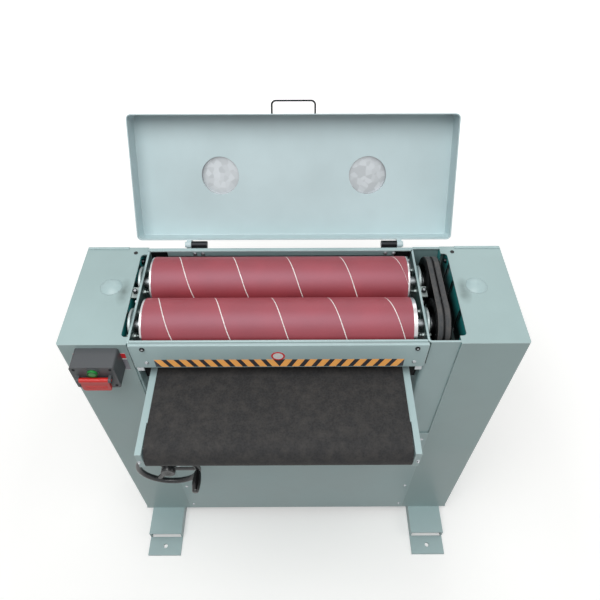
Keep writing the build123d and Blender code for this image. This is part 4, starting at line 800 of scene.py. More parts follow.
class Shape:
    """A mesh under way, in the machine's frame."""

    def __init__(self) -> None:
        """Starts an empty mesh."""
        self.mesh = bmesh.new()

    def loft(self, rings: list[list[Vector]], caps: bool = True, part: int = 0) -> None:
        """Skins closed rings of equal length one after another.

        Args:
            rings: Points of each ring, in metres.
            caps: Whether the first and last rings are filled.
            part: Material number of the faces.
        """
        rows = [[self.mesh.verts.new(place) for place in row] for row in rings]
        count = len(rows[0])
        for low, high in zip(rows, rows[1:]):
            for i in range(count):
                j = (i + 1) % count
                self.mesh.faces.new((low[i], low[j], high[j], high[i])).material_index = part
        if caps:
            for end in (rows[0][::-1], rows[-1]):
                self.mesh.faces.new(end).material_index = part

    def turned(self, rows: Iterable[tuple[float, Radius]], place: Matrix, sides: int = 32,
               part: int = 0) -> None:
        """A turned form.

        Args:
            rows: Height and radius of each corner in millimetres; a radius may be a function of the angle.
            place: Where it stands.
            sides: Facets round it.
            part: Material number.
        """
        rings = []
        for z, radius in rows:
            reach = [(a, radius(a) if callable(radius) else radius) for a in turns(sides)]
            rings.append([place @ point(r * math.cos(a), r * math.sin(a), z) for a, r in reach])
        self.loft(rings, part=part)

    def film(self, outline: list[Pair], face: float, lift: float, part: int = 0) -> None:
        """A thin film with (x, z) corners on a face that looks to the front."""
        self.loft([[point(x, face - rise, z) for x, z in outline] for rise in (0.0, lift)], part=part)

    def eased_block(self, low: Triple, high: Triple, ease: float) -> None:
        """A block with eased edges, lofted from front to back.

        Args:
            low: Lowest corner in millimetres.
            high: Highest corner in millimetres.
            ease: Size of the eased edges.
        """
        rings = []
        for y, inset in ((low[1], ease), (low[1] + ease, 0.0), (high[1] - ease, 0.0), (high[1], ease)):
            x0, x1, z0, z1 = low[0] + inset, high[0] - inset, low[2] + inset, high[2] - inset
            outline = [(x0 + ease, z0), (x1 - ease, z0), (x1, z0 + ease), (x1, z1 - ease),
                       (x1 - ease, z1), (x0 + ease, z1), (x0, z1 - ease), (x0, z0 + ease)]
            rings.append([point(x, y, z) for x, z in outline])
        self.loft(rings)

    def hex_head(self, place: Matrix, across: float, height: float, part: int = 0) -> None:
        """Washer and chamfered hexagon of a bolt or nut.

        Args:
            place: Foot of the washer, local Z outwards.
            across: Across flats in millimetres.
            height: Height of the hexagon.
            part: Material number.
        """
        flat, foot = across / 2, across * 0.14
        six, top = hexagon(flat), foot + height
        washer = [(0, flat * 1.75), (across * 0.1, flat * 1.75), (foot, flat * 1.65)]
        self.turned(washer, place, sides=24, part=part)
        head = [(foot, six), (top - height * 0.18, six), (top, flat * 0.93)]
        self.turned(head, place, sides=24, part=part)

    def thread_end(self, place: Matrix, radius: float, length: float, pitch: float) -> None:
        """Bare threaded end as a stack of shallow ridges.

        Args:
            place: Foot of the thread.
            radius: Outer radius in millimetres.
            length: Length in millimetres.
            pitch: Distance between ridges.
        """
        root = radius * 0.86
        outline, z = [(0.0, root)], 0.0
        while z + pitch < length:
            outline += [(z + pitch * 0.5, radius), (z + pitch, root)]
            z += pitch
        self.turned(outline + [(length, radius * 0.7)], place, sides=16)

    def socket_screw(self, place: Matrix, radius: float, height: float, part: int = 0,
                     bright: int | None = None) -> None:
        """Round head with a hexagon socket.

        Args:
            place: Foot of the head, local Z outwards.
            radius: Radius of the head in millimetres.
            height: Height of the head.
            part: Material number.
            bright: Material number of a socket floor drawn bright, a painted reflection.
        """
        flat = radius * 0.52
        six = hexagon(flat)
        self.turned([(0, radius), (height * 0.75, radius), (height, radius * 0.86), (height, six),
                     (height * 0.35, six)], place, sides=24, part=part)
        if bright is not None:
            wide = flat * 0.9
            floor = [(height * 0.3, wide), (height * 0.8, wide), (height * 0.86, flat * 0.7)]
            self.turned(floor, place, sides=18, part=bright)

    def pan_head(self, place: Matrix, radius: float, height: float, part: int = 0) -> None:
        """Low domed head with a shallow socket.

        Args:
            place: Foot of the head, local Z outwards.
            radius: Radius of the head in millimetres.
            height: Height of the head.
            part: Material number.
        """
        dome = ((0.0, 1.0), (0.45, 0.97), (0.8, 0.78), (1.0, 0.45), (0.6, 0.3))
        rows = [(height * rise, radius * share) for rise, share in dome]
        self.turned(rows, place, sides=20, part=part)

    def each(self, head: Callable[..., None], places: Iterable[Triple], axis: Triple, *sizes: float,
             **choices: int) -> None:
        """Sets the same head at several places.

        Args:
            head: The method that draws it.
            places: Feet of the heads in millimetres.
            axis: Direction that they look in.
            sizes: Sizes of the head.
            choices: Other choices of the method.
        """
        for place in places:
            head(self, stand_on(point(*place), axis), *sizes, **choices)

    def piece(self, name: str, body: Body, *finishes: Finish, smooth: float = 35.0) -> bpy.types.Object:
        """Turns the mesh into a piece of the machine.

        Args:
            name: Name of the piece.
            body: The CAD body that it rides on.
            finishes: Finish of each material number.
            smooth: Angle in degrees above which an edge stays sharp.

        Returns:
            The new object.
        """
        bmesh.ops.remove_doubles(self.mesh, verts=self.mesh.verts, dist=1e-7)
        bmesh.ops.recalc_face_normals(self.mesh, faces=self.mesh.faces)
        data = bpy.data.meshes.new(name)
        self.mesh.to_mesh(data)
        self.mesh.free()
        data.shade_smooth()
        data.set_sharp_from_angle(angle=math.radians(smooth))
        made = add_object(name, data)
        for finish in finishes:
            data.materials.append(finish.material())
        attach(made, body.value)
        LOG.info("piece %s: %d faces on %s", name, len(data.polygons), body.value)
        return made


@dataclass
class AbrasiveDrum:
    """One drum: the wound abrasive strip and its pale seam."""

    name: str
    body: Body
    rims: Pair
    seam_at_top: float
    lead: float = 130.8
    gap: float = 2.3
    tight_from: float = 99.0  # turn after which the joint closes up
    tight_over: float = 0.12  # turns that it takes
    tightness: float = 0.72
    fray: Triple = (0.4, 0.1, 23.0)  # reach of the seam's far edge into the joint, its wander and rate
    radius: float = 63.5
    seam_radius: float = 63.2
    thick: float = 0.9
    seam_thick: float = 0.5
    steps: int = 120

    def __post_init__(self) -> None:
        """Takes the drum's place from its CAD tube."""
        low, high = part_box(f"{self.name}_tube")
        self.middle, self.axis_y, self.axis_z = middle_of(low, high)
        self.low, self.high = low.x / MM + self.rims[0], high.x / MM - self.rims[1]

    def on_drum(self, x: float, angle: float, radius: float) -> Vector:
        """A point of the drum; the angle runs from the crown towards the infeed side."""
        return point(x, self.axis_y - radius * math.sin(angle), self.axis_z + radius * math.cos(angle))

    def joint(self, turn: float) -> float:
        """Width of the joint between neighbouring turns, in millimetres."""
        share = min(max((turn - self.tight_from) / self.tight_over, 0.0), 1.0)
        return self.gap * (1.0 - self.tightness * share)

    def strip_edges(self, turn: float) -> Pair:
        """Edges of the abrasive strip at a turn, from the seam line."""
        return self.joint(turn) / 2, self.lead - self.joint(turn + 1) / 2

    def seam_edges(self, turn: float) -> Pair:
        """Edges of the seam at a turn, from the seam line."""
        reach, wander, rate = self.fray
        return -self.joint(turn) / 2, self.joint(turn) * (reach + wander * math.sin(rate * turn))

    def winding(self, edges_of: Callable[[float], Pair], radius: float, thick: float) -> Shape:
        """A strip wound round the drum and cut square at both rims.

        Args:
            edges_of: Function of the turn that gives the strip's edges, from the seam line in millimetres.
            radius: Radius of its outer face.
            thick: Thickness of the strip.

        Returns:
            The strip.
        """
        first = math.floor((self.low - self.middle - self.seam_at_top) / self.lead) - 1
        last = math.ceil((self.high - self.middle - self.seam_at_top) / self.lead) + 1
        rings = []
        for step in range(first * self.steps, last * self.steps + 1):
            turn = step / self.steps
            line = self.middle + self.seam_at_top + self.lead * turn
            low, high = (min(max(line + edge, self.low), self.high) for edge in edges_of(turn))
            if high - low > SLACK:
                section = ((low, radius), (high, radius), (high, radius - thick), (low, radius - thick))
                rings.append([self.on_drum(x, 2 * math.pi * turn, r) for x, r in section])
        shape = Shape()
        shape.loft(rings)
        return shape

    def build(self) -> None:
        """Makes the strip and the seam."""
        strip = self.winding(self.strip_edges, self.radius, self.thick)
        cloth = strip.piece(f"{self.name}_abrasive_strip", self.body, ABRASIVE, smooth=60)
        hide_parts(f"{self.name}_wrap")
        seam = self.winding(self.seam_edges, self.seam_radius, self.seam_thick)
        seam.piece(f"{self.name}_seam", self.body, SEAM, smooth=60)


@dataclass
class Bearings:
    """Bolts of the four flange bearings, screws of the drums' end discs and the shafts' lock collars."""

    circle: float = 35.0
    angles: tuple[float, ...] = (7.0, 173.0, 270.0)
    across: float = 9.0
    right_share: float = 0.85  # the bolts of the belt side are smaller
    head_share: float = 0.9
    head_height: float = 4.0
    nut_height: float = 5.0
    thread: tuple[float, float, float, float] = (6.5, 3.0, 6.5, 1.0)  # foot, radius, length and pitch
    plate: float = 5.0
    flange: float = 5.0
    collar: tuple[float, float, float, float] = (314.7, 318.8, 12.2, 18.5)  # ends, bore and radius
    collar_ease: float = 0.8
    disc_circle: float = 42.0
    disc_inset: float = 4.0
    disc_screws: int = 4
    disc_screw: Pair = (4.5, 3.6)  # radius and height

    def bolts(self, outer: float, inner: float, way: int, y: float, z: float) -> Shape:
        """Bolts of one bearing: head on its flange, nut and thread inside the plate.

        Args:
            outer: Outer face of the plate.
            inner: Inner face of the plate.
            way: Side of the machine, -1 left or 1 right.
            y: Shaft in millimetres.
            z: Shaft in millimetres.

        Returns:
            The bolts.
        """
        made = Shape()
        size = self.across * (1.0 if way < 0 else self.right_share)
        foot, radius, length, pitch = self.thread
        for along, up in on_circle(self.circle, map(math.radians, self.angles)):
            at = (y + along, z + up)
            head = stand_on(point(outer + way * self.flange, *at), (way, 0, 0))
            made.hex_head(head, size * self.head_share, self.head_height)
            made.hex_head(stand_on(point(inner, *at), (-way, 0, 0)), size, self.nut_height)
            made.thread_end(stand_on(point(inner - way * foot, *at), (-way, 0, 0)), radius, length, pitch)
        return made

    def build(self) -> None:
        """Makes bolts, end screws and collars of both drums."""
        left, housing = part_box("left_head_plate"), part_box("belt_housing")
        right = housing[0].x / MM
        sides = (("left", left[0].x / MM, left[1].x / MM, -1), ("right", right + self.plate, right, 1))
        spots = on_circle(self.disc_circle, turns(self.disc_screws, 0.25))
        start, end, bore, radius = self.collar
        rows = [(start, bore), *eased_ends(start, end, radius, self.collar_ease), (end, bore)]
        for drum, body in (("front_drum", Body.FRONT_DRUM), ("rear_drum", Body.REAR_DRUM)):
            low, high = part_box(f"{drum}_tube")
            _, y, z = middle_of(low, high)
            for side, outer, inner, way in sides:
                bolts = self.bolts(outer, inner, way, y, z)
                bolts.piece(f"{drum}_bearing_bolts_{side}", Body.STAND, SOFT_ZINC)
            ends = Shape()
            for face, way in ((low.x / MM + self.disc_inset, -1), (high.x / MM - self.disc_inset, 1)):
                places = [(face, y + along, z + up) for along, up in spots]
                ends.each(Shape.socket_screw, places, (way, 0, 0), *self.disc_screw)
            ends.piece(f"{drum}_end_screws", body, YELLOW_ZINC)
            collar = Shape()
            collar.turned(rows, stand_on(point(0, y, z), (1, 0, 0)), sides=40)
            collar.piece(f"{drum}_lock_collar", body, ZINC)


@dataclass
class HeadPanels:
    """Folded front panel with screws, films and disc, nuts and bay edge of the rear one, adjuster bolts."""

    face: float = -154.0
    ends: Pair = (-366.9, 298.4)   # the flange stops at the plates
    outer_ends: Pair = (-368.5, 300.5)
    plate_front: float = -146.1
    low: float = 936.0
    flange_edge: float = -138.0
    sheet: float = 3.0
    fold: float = 1.2
    groove: tuple[float, float, float, float] = (-146.4, -143.2, 0.9, 0.8)  # edges, depth and slope
    mid: float = -34.0
    black_screws: tuple[Pair, ...] = ((-337.9, 1008.5), (275.2, 1008.5))
    black_head: Pair = (5.6, 3.4)  # radius and height
    pale_screws: tuple[Pair, ...] = ((-338.1, 956.0), (275.0, 956.0))
    pale_head: Pair = (5.0, 2.4)
    band_half: float = 285.6
    band_low: float = 939.0
    band_high: float = 967.0
    band_lift: float = 0.12
    stripe_lift: float = 0.2
    stripe_pitch: float = 28.4
    stripe_share: float = 0.575
    slant: float = 13.8
    disc: Pair = (-36.4, 980.0)
    disc_radius: float = 15.7
    disc_lift: float = 0.34
    field_share: float = 0.75      # share of the disc inside its red ring
    field_faces: Pair = (0.3, 0.4)
    lip_face: float = 143.0
    lip_nut_z: float = 1011.0
    lip_nut: Pair = (6.0, 2.4)     # across flats and height
    bay_edge: tuple[float, float, float, float] = (303.6, 371.9, 149.8, 153.0)  # left, right, front and rear
    bay_rows: tuple[Pair, ...] = ((4.0, 0.0), (0.6, 0.0), (0.0, 0.6))  # drop below the deck and ease
    adjuster_xs: Pair = (-378.3, 309.8)
    adjuster_at: Pair = (4.0, 1028.0)
    adjuster_socket: tuple[Pair, ...] = ((-0.3, 3.4), (0.15, 3.4), (0.3, 3.1))
    adjuster_bolt: Pair = (7.5, 4.2)
    adjuster_bolts: tuple[tuple[Triple, int], ...] = (((-372.0, -17.0, 1010.0), -1),
                                                      ((303.5, -19.0, 1007.0), 1))

    def folded_sheet(self) -> None:
        """The panel itself: a tight fold at the deck and a groove pressed along its flange."""
        face, top, fold, (near, far, deep, slope) = self.face, DECK_Z, self.fold, self.groove
        corner = fold * (1 - math.sqrt(0.5))
        bend = [(face, self.low), (face, top - fold), (face + corner, top - corner), (face + fold, top)]
        press = [(near, top), (near + slope, top - deep), (far - slope, top - deep), (far, top)]
        inner = [(face + self.sheet, top - self.sheet), (face + self.sheet, self.low)]
        panel = Shape()
        for edge, pressed, spans in ((self.flange_edge, press, (self.ends,)),
                                     (self.plate_front, [], tuple(zip(self.ends, self.outer_ends)))):
            outline = bend + pressed + [(edge, top), (edge, top - self.sheet)] + inner
            for span in spans:
                panel.loft([[point(x, y, z) for y, z in outline] for x in span])
        # The groove's faces take the darker enamel, painted shade.
        for side in panel.mesh.faces:
            if all(near - SLACK < vert.co.y / MM < far + SLACK for vert in side.verts):
                side.material_index = 1
        made = panel.piece("front_head_panel_folded", Body.STAND, PANEL_ENAMEL, GROOVE_PAINTED_SHADE, smooth=50)
        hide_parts("front_head_panel")

    def head_trims(self) -> None:
        """Folded edge behind the belt bay, the adjusters' sockets and the bolts beside them."""
        low, high, front, rear = self.bay_edge
        edge = Shape()
        rings = []
        for drop, ease in self.bay_rows:
            rings.append([point(x, y, DECK_Z - drop) for x, y in corners(low, high, front + ease, rear)])
        edge.loft(rings)
        edge.piece("belt_bay_rear_edge", Body.STAND, SHEET_ENAMEL)
        sockets = Shape()
        for x in self.adjuster_xs:
            sockets.turned(self.adjuster_socket, stand_on(point(x, *self.adjuster_at), UP), sides=18)
        sockets.piece("adjuster_screw_sockets", Body.STAND, ZINC)
        bolts = Shape()
        for place, way in self.adjuster_bolts:
            bolts.hex_head(stand_on(point(*place), (way, 0, 0)), *self.adjuster_bolt)
        bolts.piece("adjuster_plate_bolts", Body.STAND, ZINC)

    def stripe(self, start: float, way: int) -> list[Pair]:
        """One slanted stripe of a half band, cut to the band's ends.

        Args:
            start: Distance of its lower edge from the middle, in millimetres.
            way: Half of the band, -1 left or 1 right.

        Returns:
            Its (x, z) corners.
        """
        end = start + self.stripe_pitch * self.stripe_share
        outline = [(start, self.band_low), (end, self.band_low),
                   (end + self.slant, self.band_high), (start + self.slant, self.band_high)]
        return [(self.mid + way * min(max(x, 0.0), self.band_half), z) for x, z in outline]

    def films(self) -> None:
        """The stripe band and the blank disc."""
        band = Shape()
        left, right = self.mid - self.band_half, self.mid + self.band_half
        band.film(corners(left, right, self.band_low, self.band_high), self.face, self.band_lift)
        start = 0.0
        while start + self.slant < self.band_half:
            for way in (-1, 1):
                band.film(self.stripe(start, way), self.face, self.stripe_lift, 1)
            start += self.stripe_pitch
        band.piece("front_panel_stripe_band", Body.STAND, FILM_BLACK, FILM_ORANGE)
        disc = Shape()
        at = stand_on(point(self.disc[0], self.face, self.disc[1]), TO_FRONT)
        field = self.disc_radius * self.field_share
        disc.turned([(face, self.disc_radius) for face in (0.0, self.disc_lift)], at, sides=48)
        disc.turned([(face, field) for face in self.field_faces], at, sides=48, part=1)
        disc.piece("front_panel_blank_disc", Body.STAND, FILM_RED, FILM_WHITE)

    def build(self) -> None:
        """Makes the panel, the trims, its screws and films, and the nuts of the rear lip."""
        self.folded_sheet()
        self.head_trims()
        black, pale, nuts = Shape(), Shape(), Shape()
        places = [(x, self.face, z) for x, z in self.black_screws]
        # The socket floors in bright zinc, a painted reflection.
        black.each(Shape.socket_screw, places, TO_FRONT, *self.black_head, bright=1)
        black.piece("front_panel_black_screws", Body.STAND, BLACK_OXIDE, ZINC)
        places = [(x, self.face, z) for x, z in self.pale_screws]
        pale.each(Shape.pan_head, places, TO_FRONT, *self.pale_head)
        pale.piece("front_panel_pale_screws", Body.STAND, ZINC)
        self.films()
        places = [(x, self.lip_face, self.lip_nut_z) for x in LEAF_XS]
        nuts.each(Shape.hex_head, places, TO_FRONT, *self.lip_nut)
        nuts.piece("rear_lip_hinge_nuts", Body.STAND, ZINC)


@dataclass
class Columns:
    """Bolts in the recessed walls, rear ledges, and screws of hinge leaves and cabinet panels."""

    wall: float = 387.5
    bolt_at: Pair = (123.0, 1003.0)
    bolt: Pair = (9.0, 5.0)        # across flats and height
    leaf_screw_at: Pair = (159.0, 989.0)
    leaf_screw: Pair = (4.2, 2.0)  # radius and height
    panel_faces: Pair = (-150.0, 157.0)
    panel_screw: Pair = (5.0, 2.6)
    panel_screw_x: float = 358.0
    panel_screw_zs: tuple[float, ...] = (75.0, 230.0, 390.0, 560.0)
    ledges: tuple[Pair, ...] = ((-526.0, -421.5), (410.0, 526.0))
    ledge_front: float = 149.0
    ledge_rear: float = 156.8
    ledge_rows: tuple[Pair, ...] = ((0.0, 0.0), (1.8, 0.0), (2.4, 0.3), (2.6, 0.9))  # rise and ease

    def build(self) -> None:
        """Makes the bolts, ledges and screws."""
        bolts = Shape()
        for way in (-1, 1):
            bolts.hex_head(stand_on(point(way * self.wall, *self.bolt_at), (-way, 0, 0)), *self.bolt)
        bolts.piece("column_wall_bolts", Body.STAND, BLACK_OXIDE)
        self.rear_ledges()
        leaf = Shape()
        leaf.each(Shape.pan_head, [(x, *self.leaf_screw_at) for x in LEAF_XS], TO_REAR, *self.leaf_screw)
        leaf.piece("hinge_leaf_screws", Body.STAND, BLACK_OXIDE)
        sides = (-self.panel_screw_x, self.panel_screw_x)
        for label, face, axis in zip(("front", "rear"), self.panel_faces, (TO_FRONT, TO_REAR)):
            screws = Shape()
            places = product(sides, (face,), self.panel_screw_zs)
            screws.each(Shape.pan_head, places, axis, *self.panel_screw)
            screws.piece(f"{label}_cabinet_screws", Body.STAND, ZINC)

    def rear_ledges(self) -> None:
        """Raised fold along the rear edge of each deck, its edges eased."""
        ledge = Shape()
        for low, high in self.ledges:
            rings = []
            for rise, ease in self.ledge_rows:
                outline = corners(low + ease, high - ease, self.ledge_front + ease, self.ledge_rear - ease)
                rings.append([point(x, y, DECK_Z + rise) for x, y in outline])
            ledge.loft(rings)
        ledge.piece("deck_rear_ledges", Body.STAND, SHEET_ENAMEL)


@dataclass
class PressureSprings:
    """Round-wire springs over the pressure rollers' end blocks."""

    name: str
    y: float
    xs: Pair = (-358.7, 290.2)
    low: float = 958.1
    high: float = 983.9
    radius: float = 6.5
    wire: float = 2.0
    coils: float = 5.0
    steps: int = 26
    sides: int = 10

    def build(self) -> None:
        """Makes both springs of one roller, flat for half a turn at each end."""
        spring = Shape()
        thick = self.wire / 2 * MM
        for x in self.xs:
            rings = []
            for step in range(int(self.coils * self.steps) + 1):
                turn = step / self.steps
                rise = min(max((turn - 0.5) / (self.coils - 1.0), 0.0), 1.0)
                z = self.low + self.wire / 2 + rise * (self.high - self.low - self.wire)
                out = Vector((math.cos(2 * math.pi * turn), math.sin(2 * math.pi * turn), 0))
                middle = point(x, self.y, z) + out * self.radius * MM
                rings.append(ring(middle, out * thick, Vector(UP) * thick, self.sides))
            spring.loft(rings)
        made = spring.piece(f"{self.name}_spring_coils", Body.STAND, SPRING_WIRE, smooth=60)
        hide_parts(f"{self.name}_pressure_springs")
        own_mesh(made)


@dataclass
class LiftScrew:
    """One lift screw: trapezoidal thread, thrust collar and sprocket."""

    name: str
    radius: float = 8.0
    root: float = 6.4
    pitch: float = 5.0
    ridge: Pair = (1.55, 0.85)     # half width of the thread at its root and crest
    sink: float = 0.2              # the ridge reaches this far into the core
    runout: float = 3.0            # the thread stops this far below the top
    chamfer: float = 1.0
    tip_ease: float = 1.2
    collar: Triple = (620.1, 626.1, 12.0)  # ends and radius
    collar_ease: float = 0.6
    sprocket: Pair = (566.0, 574.0)
    sprocket_radius: float = 18.4
    tooth_height: float = 1.6
    tooth_ease: float = 0.8
    teeth: int = 12
    steps: int = 18

    def tooth(self, angle: float) -> float:
        """Radius of the sprocket at an angle."""
        return self.sprocket_radius - self.tooth_height * math.cos(self.teeth * angle)

    def eased_tooth(self, angle: float) -> float:
        """Radius of the sprocket's faces at an angle."""
        return self.tooth(angle) - self.tooth_ease

    def build(self) -> None:
        """Makes the screw in place of its plain CAD rod."""
        low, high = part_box(self.name)
        x, y, _ = middle_of(low, high)
        foot, top = low.z / MM, high.z / MM
        shape = Shape()
        at = stand_on(point(x, y, 0), UP)
        seat, start, wide = self.collar
        cut = self.chamfer
        rod = [(foot, self.radius - cut), (foot + cut, self.radius), (seat, self.radius)]
        shape.turned(rod, at, sides=28)
        shape.turned(eased_ends(seat, start, wide, self.collar_ease), at, sides=36)
        core = [(start, self.root), (top - cut, self.root), (top, self.root - self.tip_ease)]
        shape.turned(core, at, sides=24)
        under, over = self.sprocket
        shape.turned([(under, self.eased_tooth), (under + cut, self.tooth), (over - cut, self.tooth),
                      (over, self.eased_tooth)], at, sides=120)
        self.thread(shape, x, y, start, top - self.runout)
        made = shape.piece(self.name + "_threaded", Body.STAND, TURNED_Z, smooth=40)
        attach(made, self.name)
        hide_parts(self.name)

    def thread(self, shape: Shape, x: float, y: float, low: float, high: float) -> None:
        """Winds the trapezoidal ridge round the core.

        Args:
            shape: The mesh under way.
            x: Axis in millimetres.
            y: Axis in millimetres.
            low: Foot of the thread.
            high: Top of the thread.
        """
        foot, (wide, crest) = self.root - self.sink, self.ridge
        section = ((-wide, foot), (-crest, self.radius), (crest, self.radius), (wide, foot))
        rings = []
        for step in range(int((high - low - self.pitch) / self.pitch * self.steps) + 1):
            angle = 2 * math.pi * step / self.steps
            z = low + self.pitch / 2 + self.pitch * step / self.steps
            out, over = math.cos(angle), math.sin(angle)
            rings.append([point(x + r * out, y + r * over, z + rise) for rise, r in section])
        shape.loft(rings)


@dataclass
class Handwheel:
    """Height handwheel with round rim and waisted spokes, and its turning knob."""

    centre: Triple = (-353.3, -222.0, 532.0)
    rim: float = 82.0
    section: float = 8.0
    hub: float = 20.0
    hub_half: float = 15.0
    hub_ease: float = 1.5
    bore: float = 9.0
    spokes: int = 3
    spoke_ends: Pair = (17.0, 76.0)
    spoke_half: Pair = (7.6, 4.0)  # across and along the axle
    spoke_flare: float = 5.28
    spoke_waist: float = 0.45      # share of its length at which a spoke is narrowest
    spoke_curve: float = 1.5
    spoke_shares: tuple[float, ...] = (0.0, 0.15, 0.4, 0.7, 0.9, 1.0)
    stud: float = 4.0
    stud_end: Triple = (0.9, 0.2, 0.8)  # both edges of its chamfer below the knob's end, and its depth
    knob_start: float = 8.1
    knob_foot: tuple[Pair, ...] = ((0.0, 4.2), (0.0, 7.6), (2.0, 8.4))
    knob_tip: tuple[Pair, ...] = ((59.0, 7.6), (60.0, 6.0), (60.0, 4.2))
    grip: tuple[float, float, float, float] = (3.0, 54.0, 8.2, 3.7)  # start, length, radius and bulge
    grip_curve: Triple = (0.12, 0.78, 1.2)  # first share and span of a half wave, and its power
    grip_steps: int = 12

    def spoke(self, out: Vector, side: Vector) -> list[list[Vector]]:
        """Rings of one spoke.

        Args:
            out: Direction of the spoke.
            side: Direction across it.

        Returns:
            The rings, from hub to rim.
        """
        rings = []
        (start, end), (across, along) = self.spoke_ends, self.spoke_half
        for share in self.spoke_shares:
            half = across + self.spoke_flare * abs(share - self.spoke_waist) ** self.spoke_curve
            middle = point(*self.centre) + out * (start + share * (end - start)) * MM
            rings.append(ring(middle, side * half * MM, Vector(TO_REAR) * along * MM, sides=16))
        return rings

    def build(self) -> None:
        """Makes wheel and knob in place of their plain CAD forms."""
        wheel = Shape()
        middle, thick = point(*self.centre), self.section * MM
        outs = [Vector((math.cos(a), 0, math.sin(a))) for a in turns(count=72)]
        rings = [ring(middle + out * self.rim * MM, out * thick, Vector(TO_REAR) * thick, sides=18)
                 for out in outs]
        wheel.loft(rings + rings[:1], caps=False)
        half = self.hub_half
        rows = [(-half, self.bore), *eased_ends(-half, half, self.hub, self.hub_ease), (half, self.bore)]
        wheel.turned(rows, stand_on(middle, TO_FRONT), sides=40)
        for a in turns(self.spokes):
            out, side = Vector((math.cos(a), 0, math.sin(a))), Vector((-math.sin(a), 0, math.cos(a)))
            wheel.loft(self.spoke(out, side))
        stud = stand_on(middle + point(self.rim, 0, 0), TO_FRONT)
        tip, (below, above, deep) = self.knob_start + self.knob_tip[-1][0], self.stud_end
        rows = [(0.0, self.stud), (tip - below, self.stud), (tip - above, self.stud - deep)]
        wheel.turned(rows, stud, sides=20, part=1)
        made = wheel.piece("handwheel_cast", Body.HANDWHEEL, WHEEL_ENAMEL, TURNED_Y, smooth=45)
        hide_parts("handwheel")
        self.knob(stud)

    def knob(self, stud: Matrix) -> None:
        """The bulging grip that turns on the wheel's stud.

        Args:
            stud: Foot of the stud, local Z outwards.
        """
        outline = list(self.knob_foot)
        (start, length, radius, bulge), (first, span, power) = self.grip, self.grip_curve
        for share in (step / self.grip_steps for step in range(self.grip_steps + 1)):
            wave = math.sin(math.pi * (first + span * share)) ** power
            outline.append((start + share * length, radius + bulge * wave))
        outline += self.knob_tip
        knob = Shape()
        knob.turned([(self.knob_start + z, r) for z, r in outline], stud, sides=36)
        grip = knob.piece("handwheel_grip", Body.KNOB, PHENOLIC, smooth=50)
        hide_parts("handwheel_knob")


